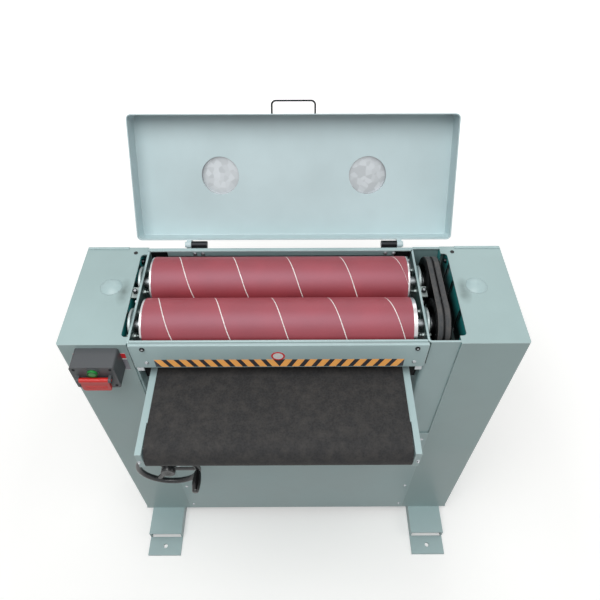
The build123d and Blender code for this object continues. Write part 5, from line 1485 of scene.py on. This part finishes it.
@dataclass
class FeedDrive:
    """Ribbed case, terminal box, cover and bolts of the feed gearmotor, and the belt's tension plates."""

    x: float = -382.0
    y: float = 220.0
    shaft_z: float = 862.0
    side: float = -420.0
    rear: float = 264.0
    top: float = 906.0
    flange: float = 810.0
    flange_bolts: Pair = (28.0, 42.0)
    flange_bolt: Pair = (7.0, 4.0)  # across flats and height
    case: tuple[float, float, float, float] = (664.0, 806.0, 38.4, 40.8)  # ends, valleys and ribs
    ribs: int = 28
    rib_level: float = 0.3         # a rib stands where its wave is higher than this
    box_low: Triple = (-402.0, 257.0, 716.0)
    box_high: Triple = (-362.0, 284.0, 778.0)
    box_lid: float = 5.0
    lid_past: float = 1.5          # the lid of the box reaches this far past its walls
    lid_lap: float = 0.4
    box_eases: Pair = (1.2, 1.4)   # of walls and lid
    box_screw: Pair = (2.6, 1.4)   # radius and height
    gland: Pair = (13.0, 7.0)      # across flats and height
    gland_off: Pair = (-1.0, 0.5)  # from the middle of the box's underside, backwards and upwards
    gland_neck: tuple[Pair, ...] = ((8.0, 5.6), (13.0, 5.2), (14.0, 4.4))
    cover: tuple[Pair, ...] = ((-0.5, 30.0), (2.2, 30.0), (3.0, 29.0), (3.0, 15.0), (4.0, 14.0))
    cover_circle: float = 24.0
    cover_screws: int = 6
    cover_screw: Triple = (2.8, 3.2, 2.6)  # foot, radius and height
    drain: Triple = (22.0, 10.0, 5.0)      # drop below the shaft, across flats and height
    filler: tuple[float, float, float, float] = (-14.0, 22.0, 10.0, 4.5)  # off the axis, flats and height
    rail_faces: tuple[Pair, ...] = ((-343.9, -335.2), (266.7, 275.4))
    rail_end: float = -352.0
    rail_z: Pair = (836.2, 895.8)
    rail_plate: Triple = (0.1, 3.2, 0.4)   # both faces off the rail's end, and ease
    rail_bolt: Pair = (5.0, 3.6)

    def ribbed(self, angle: float) -> float:
        """Radius of the case at an angle."""
        return self.case[3] if math.cos(self.ribs * angle) > self.rib_level else self.case[2]

    def motor(self) -> None:
        """The motor's case and terminal box."""
        case = Shape()
        rows = [(end, self.ribbed) for end in self.case[:2]]
        case.turned(rows, stand_on(point(self.x, self.y, 0), UP), sides=168)
        case.piece("feed_motor_ribbed_case", Body.TABLE, MOTOR_ENAMEL, smooth=25)
        box, past, inset = Shape(), self.lid_past, self.box_lid
        (x0, y0, z0), (x1, y1, z1) = self.box_low, self.box_high
        box.eased_block(self.box_low, (x1, y1 - inset, z1), self.box_eases[0])
        under = y1 - inset - self.lid_lap
        box.eased_block((x0 - past, under, z0 - past), (x1 + past, y1, z1 + past), self.box_eases[1])
        places = product((x0 + inset, x1 - inset), (y1,), (z0 + inset, z1 - inset))
        box.each(Shape.pan_head, places, TO_REAR, *self.box_screw, part=1)
        behind, up = self.gland_off
        gland = stand_on(point(self.x, (y0 + y1) / 2 + behind, z0 + up), DOWN)
        box.hex_head(gland, *self.gland)
        box.turned(self.gland_neck, gland, sides=24)
        box.piece("feed_motor_terminal_box", Body.TABLE, ABS_BOX, ZINC)

    def build(self) -> None:
        """Makes the motor, the gearbox's fittings and the tension plates."""
        self.motor()
        gear = Shape()
        cover = stand_on(point(self.side, self.y, self.shaft_z), (-1, 0, 0))
        gear.turned(self.cover, cover, sides=48)
        foot, *head = self.cover_screw
        for across, up in on_circle(self.cover_circle, turns(self.cover_screws, 0.5)):
            gear.socket_screw(cover @ Matrix.Translation(point(across, up, foot)), *head, part=1)
        drop, *plug = self.drain
        gear.hex_head(stand_on(point(self.x, self.rear, self.shaft_z - drop), TO_REAR), *plug, part=1)
        aside, behind, *plug = self.filler
        gear.hex_head(stand_on(point(self.x + aside, self.y + behind, self.top), UP), *plug, part=1)
        across, along = self.flange_bolts
        places = product((self.x - across, self.x + across), (self.y - along, self.y + along), (self.flange,))
        gear.each(Shape.hex_head, places, DOWN, *self.flange_bolt, part=1)
        gear.piece("feed_gearbox_fittings", Body.TABLE, CAST_ALLOY, ZINC)
        tension, (gap, reach, ease) = Shape(), self.rail_plate
        face, back = self.rail_end + gap, self.rail_end + reach
        for x0, x1 in self.rail_faces:
            tension.eased_block((x0, face, self.rail_z[0]), (x1, back, self.rail_z[1]), ease)
            bolt = stand_on(point((x0 + x1) / 2, face, self.shaft_z), TO_FRONT)
            tension.hex_head(bolt, *self.rail_bolt, part=1)
        tension.piece("belt_tension_plates", Body.TABLE, SHEET_ENAMEL, ZINC)


@dataclass
class Lid:
    """Rolled beads and rivets of the dust ports, on the open lid."""

    hinge_y: float = 168.0
    hinge_z: float = 1019.0
    open_angle: float = 121.0
    port_x: float = 190.0
    port_reach: float = 168.0
    top: float = 61.0
    bead_heights: Pair = (14.0, 38.0)
    bead: tuple[Pair, ...] = ((-2.2, 49.9), (-1.2, 50.9), (0.0, 51.3), (1.2, 50.9), (2.2, 49.9))
    rivets: int = 6
    rivet_circle: float = 56.0
    rivet: Triple = (3.0, 3.0, 1.4)  # foot, radius and height

    def build(self) -> None:
        """Makes the beads and rivets."""
        turn = math.radians(self.open_angle)
        ahead = Vector((0, -math.cos(turn), math.sin(turn)))
        outward = Vector((0, math.sin(turn), math.cos(turn)))
        reach = (ahead * self.port_reach + outward * self.top) * MM
        foot, *head = self.rivet
        beads = Shape()
        for x in (-self.port_x, self.port_x):
            place = stand_on(point(x, self.hinge_y, self.hinge_z) + reach, outward)
            for height in self.bead_heights:
                beads.turned([(height + rise, radius) for rise, radius in self.bead], place, sides=64)
            for across, up in on_circle(self.rivet_circle, turns(self.rivets, 0.5)):
                beads.pan_head(stand_on(place @ point(across, up, foot), outward), *head)
        beads.piece("dust_port_beads", Body.LID, GALVANISED)


@dataclass
class SwitchBox:
    """Film, cover screws and gland nut of the switch box, dish of its button and ribs of its paddle."""

    left: float = -490.0
    right: float = -392.0
    front: float = -202.0
    back: float = -150.0
    low: float = 928.0
    high: float = 1008.0
    film_past: Pair = (9.0, 10.0)  # the film reaches this far past the box, left and right
    fields: tuple[Triple, ...] = ((922.0, 988.0, 0.2), (969.0, 987.0, 0.35),
                                  (923.0, 964.0, 0.35))  # low, high and lift of white, red and grey
    screw_inset: float = 9.0
    screw: Pair = (3.4, 1.8)       # radius and height
    gland: Triple = (-415.0, -176.0, 906.0)
    gland_flat: float = 11.6       # half width across flats
    gland_nut: Triple = (15.0, 21.0, 21.9)
    gland_top: float = 11.4
    gland_foot: tuple[Pair, ...] = ((0.2, 9.0), (0.4, 11.3), (3.0, 11.6), (5.0, 11.3))
    button: Triple = (-441.0, -209.0, 990.0)
    dish: tuple[Pair, ...] = ((-0.5, 10.8), (0.0, 10.2), (0.0, 8.2), (-0.45, 7.6), (-0.45, 0.4))
    rib_ends: Pair = (-466.0, -416.0)
    rib_zs: tuple[float, ...] = (940.0, 946.0, 952.0)
    rib_rows: tuple[Triple, ...] = ((-213.9, 0.0, 1.0), (-214.8, 0.8, 0.4))  # face, inset and half height

    def build(self) -> None:
        """Makes the film behind the box, the cover screws, the gland nut and the switch trims."""
        film = Shape()
        ends = (self.left - self.film_past[0], self.right + self.film_past[1])
        for part, (low, high, lift) in enumerate(self.fields):
            film.film(corners(*ends, low, high), self.back, lift, part)
        film.piece("switch_surround_film", Body.STAND, FILM_WHITE, FILM_RED, FILM_GREY)
        screws, inset = Shape(), self.screw_inset
        heights = (self.low + inset, self.high - inset)
        places = product((self.left + inset, self.right - inset), (self.front,), heights)
        screws.each(Shape.pan_head, places, TO_FRONT, *self.screw)
        gland, six = stand_on(point(*self.gland), UP), hexagon(self.gland_flat)
        screws.turned(zip(self.gland_nut, (six, six, self.gland_top)), gland, sides=24, part=1)
        screws.turned(self.gland_foot, gland, sides=32, part=1)
        screws.piece("switch_box_screws", Body.STAND, BLACK_OXIDE, ABS_BOX)
        dish = Shape()
        dish.turned(self.dish, stand_on(point(*self.button), TO_FRONT), sides=36)
        dish.piece("start_button_dish", Body.START, ABS_GREEN)
        ribs, (start, end) = Shape(), self.rib_ends
        for z in self.rib_zs:
            ribs.loft([[point(x, face, h) for x, h in corners(start + ease, end - ease, z - half, z + half)]
                       for face, ease, half in self.rib_rows])
        ribs.piece("stop_paddle_ribs", Body.STOP, ABS_RED)


@dataclass
class Studio:
    """Pale floor, soft light and a camera at the photograph's angle."""

    eye: Triple = (9.6, -878.4, 2026.3)
    pitch: float = 49.59
    yaw: float = 0.29
    lens: float = 33.606
    sensor: float = 36.0
    clip: Pair = (0.05, 60.0)      # metres
    sky: float = 0.31
    floor_size: float = 9.0
    floor_lit: str = "#8C8D8B"     # tone that colours the light on the machine
    floor_seen: str = "#F2F2F0"
    floor_rough: float = 0.8
    floor_glow: float = 0.26
    fade: Pair = (1.0, 4.0)        # metres over which the floor whitens into the background
    aim: Triple = (0, 0, 0.9)
    lamps: tuple = (("key_softbox", (-0.4, -0.98, 3.78), 2.4, 78.0),  # place and width in metres, watts
                    ("fill_softbox", (2.6, -0.6, 2.4), 1.8, 8.0),
                    ("back_softbox", (0.3, 2.6, 2.9), 2.0, 20.0))

    def floor(self) -> None:
        """A broad pale floor under the machine."""
        mesh = bmesh.new()
        bmesh.ops.create_grid(mesh, x_segments=8, y_segments=8, size=self.floor_size)
        data = bpy.data.meshes.new("studio_floor")
        mesh.to_mesh(data)
        mesh.free()
        made = add_object("studio_floor", data)
        paint = bpy.data.materials.new("pale_floor_paint")
        paint.use_nodes = True
        tree = paint.node_tree
        shader = tree.nodes["Principled BSDF"]
        shader.inputs["Roughness"].default_value = self.floor_rough
        shader.inputs["Emission Color"].default_value = linear("#FFFFFF")
        seen = self.seen(tree)
        where = add_node(tree, "ShaderNodeTexCoord").outputs["Object"]
        far = add_node(tree, "ShaderNodeVectorMath", {0: where}, operation="LENGTH").outputs["Value"]
        near, white = self.fade
        glow = add_node(tree, "ShaderNodeMapRange", {"Value": far, "From Min": near, "From Max": white,
                                                     "To Min": self.floor_glow, "To Max": 1.0}).outputs[0]
        lit, bare = linear(self.floor_lit), linear(self.floor_seen)
        tone = add_node(tree, "ShaderNodeMix", {0: seen, 6: lit, 7: bare}, data_type="RGBA")
        shown = add_node(tree, "ShaderNodeMath", {0: seen, 1: glow}, operation="MULTIPLY")
        tree.links.new(tone.outputs[2], shader.inputs["Base Color"])
        tree.links.new(shown.outputs[0], shader.inputs["Emission Strength"])
        data.materials.append(paint)

    def seen(self, tree: Tree) -> Socket:
        """One for rays of the camera, of reflections and through glass, zero for light on the machine.

        Args:
            tree: The floor's or sky's node tree.

        Returns:
            The socket.
        """
        path = add_node(tree, "ShaderNodeLightPath").outputs
        rays = path["Is Camera Ray"]
        for name in ("Is Glossy Ray", "Is Transmission Ray"):
            rays = add_node(tree, "ShaderNodeMath", {0: rays, 1: path[name]}, operation="MAXIMUM").outputs[0]
        return rays

    def point_at(self, made: bpy.types.Object, place: Vector, ahead: Vector) -> None:
        """Places a lamp or camera and turns it to look ahead.

        Args:
            made: The lamp or camera.
            place: Its place in metres.
            ahead: Direction that it looks in.
        """
        made.location = place
        made.rotation_mode = "QUATERNION"
        made.rotation_quaternion = ahead.to_track_quat("-Z", "Y")

    def world(self) -> None:
        """White to the eye and in reflections, softer as a lamp."""
        world = bpy.data.worlds.new("studio_sky")
        world.use_nodes = True
        tree = world.node_tree
        sky = tree.nodes["Background"]
        sky.inputs["Color"].default_value = linear("#FFFFFF")
        seen = self.seen(tree)
        glow = add_node(tree, "ShaderNodeMapRange", {"Value": seen, "To Min": self.sky, "To Max": 1.0})
        tree.links.new(glow.outputs[0], sky.inputs["Strength"])
        bpy.context.scene.world = world

    def camera(self) -> None:
        """The camera that took the photograph, worked out from its perspective."""
        lens = bpy.data.cameras.new("photo_camera")
        lens.lens, lens.sensor_width, lens.sensor_fit = self.lens, self.sensor, "HORIZONTAL"
        lens.clip_start, lens.clip_end = self.clip
        made = add_object("photo_camera", lens)
        pitch, yaw = math.radians(self.pitch), math.radians(self.yaw)
        level = math.cos(pitch)
        ahead = Vector((math.sin(yaw) * level, math.cos(yaw) * level, -math.sin(pitch)))
        self.point_at(made, point(*self.eye), ahead)
        bpy.context.scene.camera = made

    def build(self) -> None:
        """Sets up camera, floor, sky and lamps."""
        self.camera()
        self.floor()
        self.world()
        for name, place, width, power in self.lamps:
            lamp = bpy.data.lights.new(name, "AREA")
            lamp.shape, lamp.size, lamp.energy = "SQUARE", width, power
            self.point_at(add_object(name, lamp), Vector(place), Vector(self.aim) - Vector(place))
        bpy.context.scene.view_settings.view_transform = "Standard"


def dress_cad() -> None:
    """Gives every CAD node its own finish, or else that of its material slot."""
    slots = {row["node"]: row["material_slot"] for row in frame["record"]["subparts"]}
    for name, node in frame["nodes"].items():
        finish = NODE_FINISH.get(name) or SLOT_FINISH[slots[name]]
        node.data.materials.clear()
        node.data.materials.append(finish.material())
        LOG.info("node %s: %s", name, finish.name)


def main() -> None:
    """Builds studio, finishes and pieces in order."""
    logging.basicConfig(level=logging.INFO, format="%(name)s %(message)s")
    Studio().build()
    dress_cad()
    AbrasiveDrum("front_drum", Body.FRONT_DRUM, rims=(4.5, 8.5), seam_at_top=-3.2).build()
    AbrasiveDrum("rear_drum", Body.REAR_DRUM, rims=(4.0, 4.0), seam_at_top=27.4, tight_from=1.93).build()
    Bearings().build()
    HeadPanels().build()
    Columns().build()
    PressureSprings("infeed", y=-135.0).build()
    PressureSprings("outfeed", y=121.0).build()
    for end in ("front", "rear"):
        for side in ("left", "right"):
            LiftScrew(f"lift_screw_{end}_{side}").build()
    Handwheel().build()
    FeedDrive().build()
    Lid().build()
    SwitchBox().build()


if __name__ == "__main__":
    main()
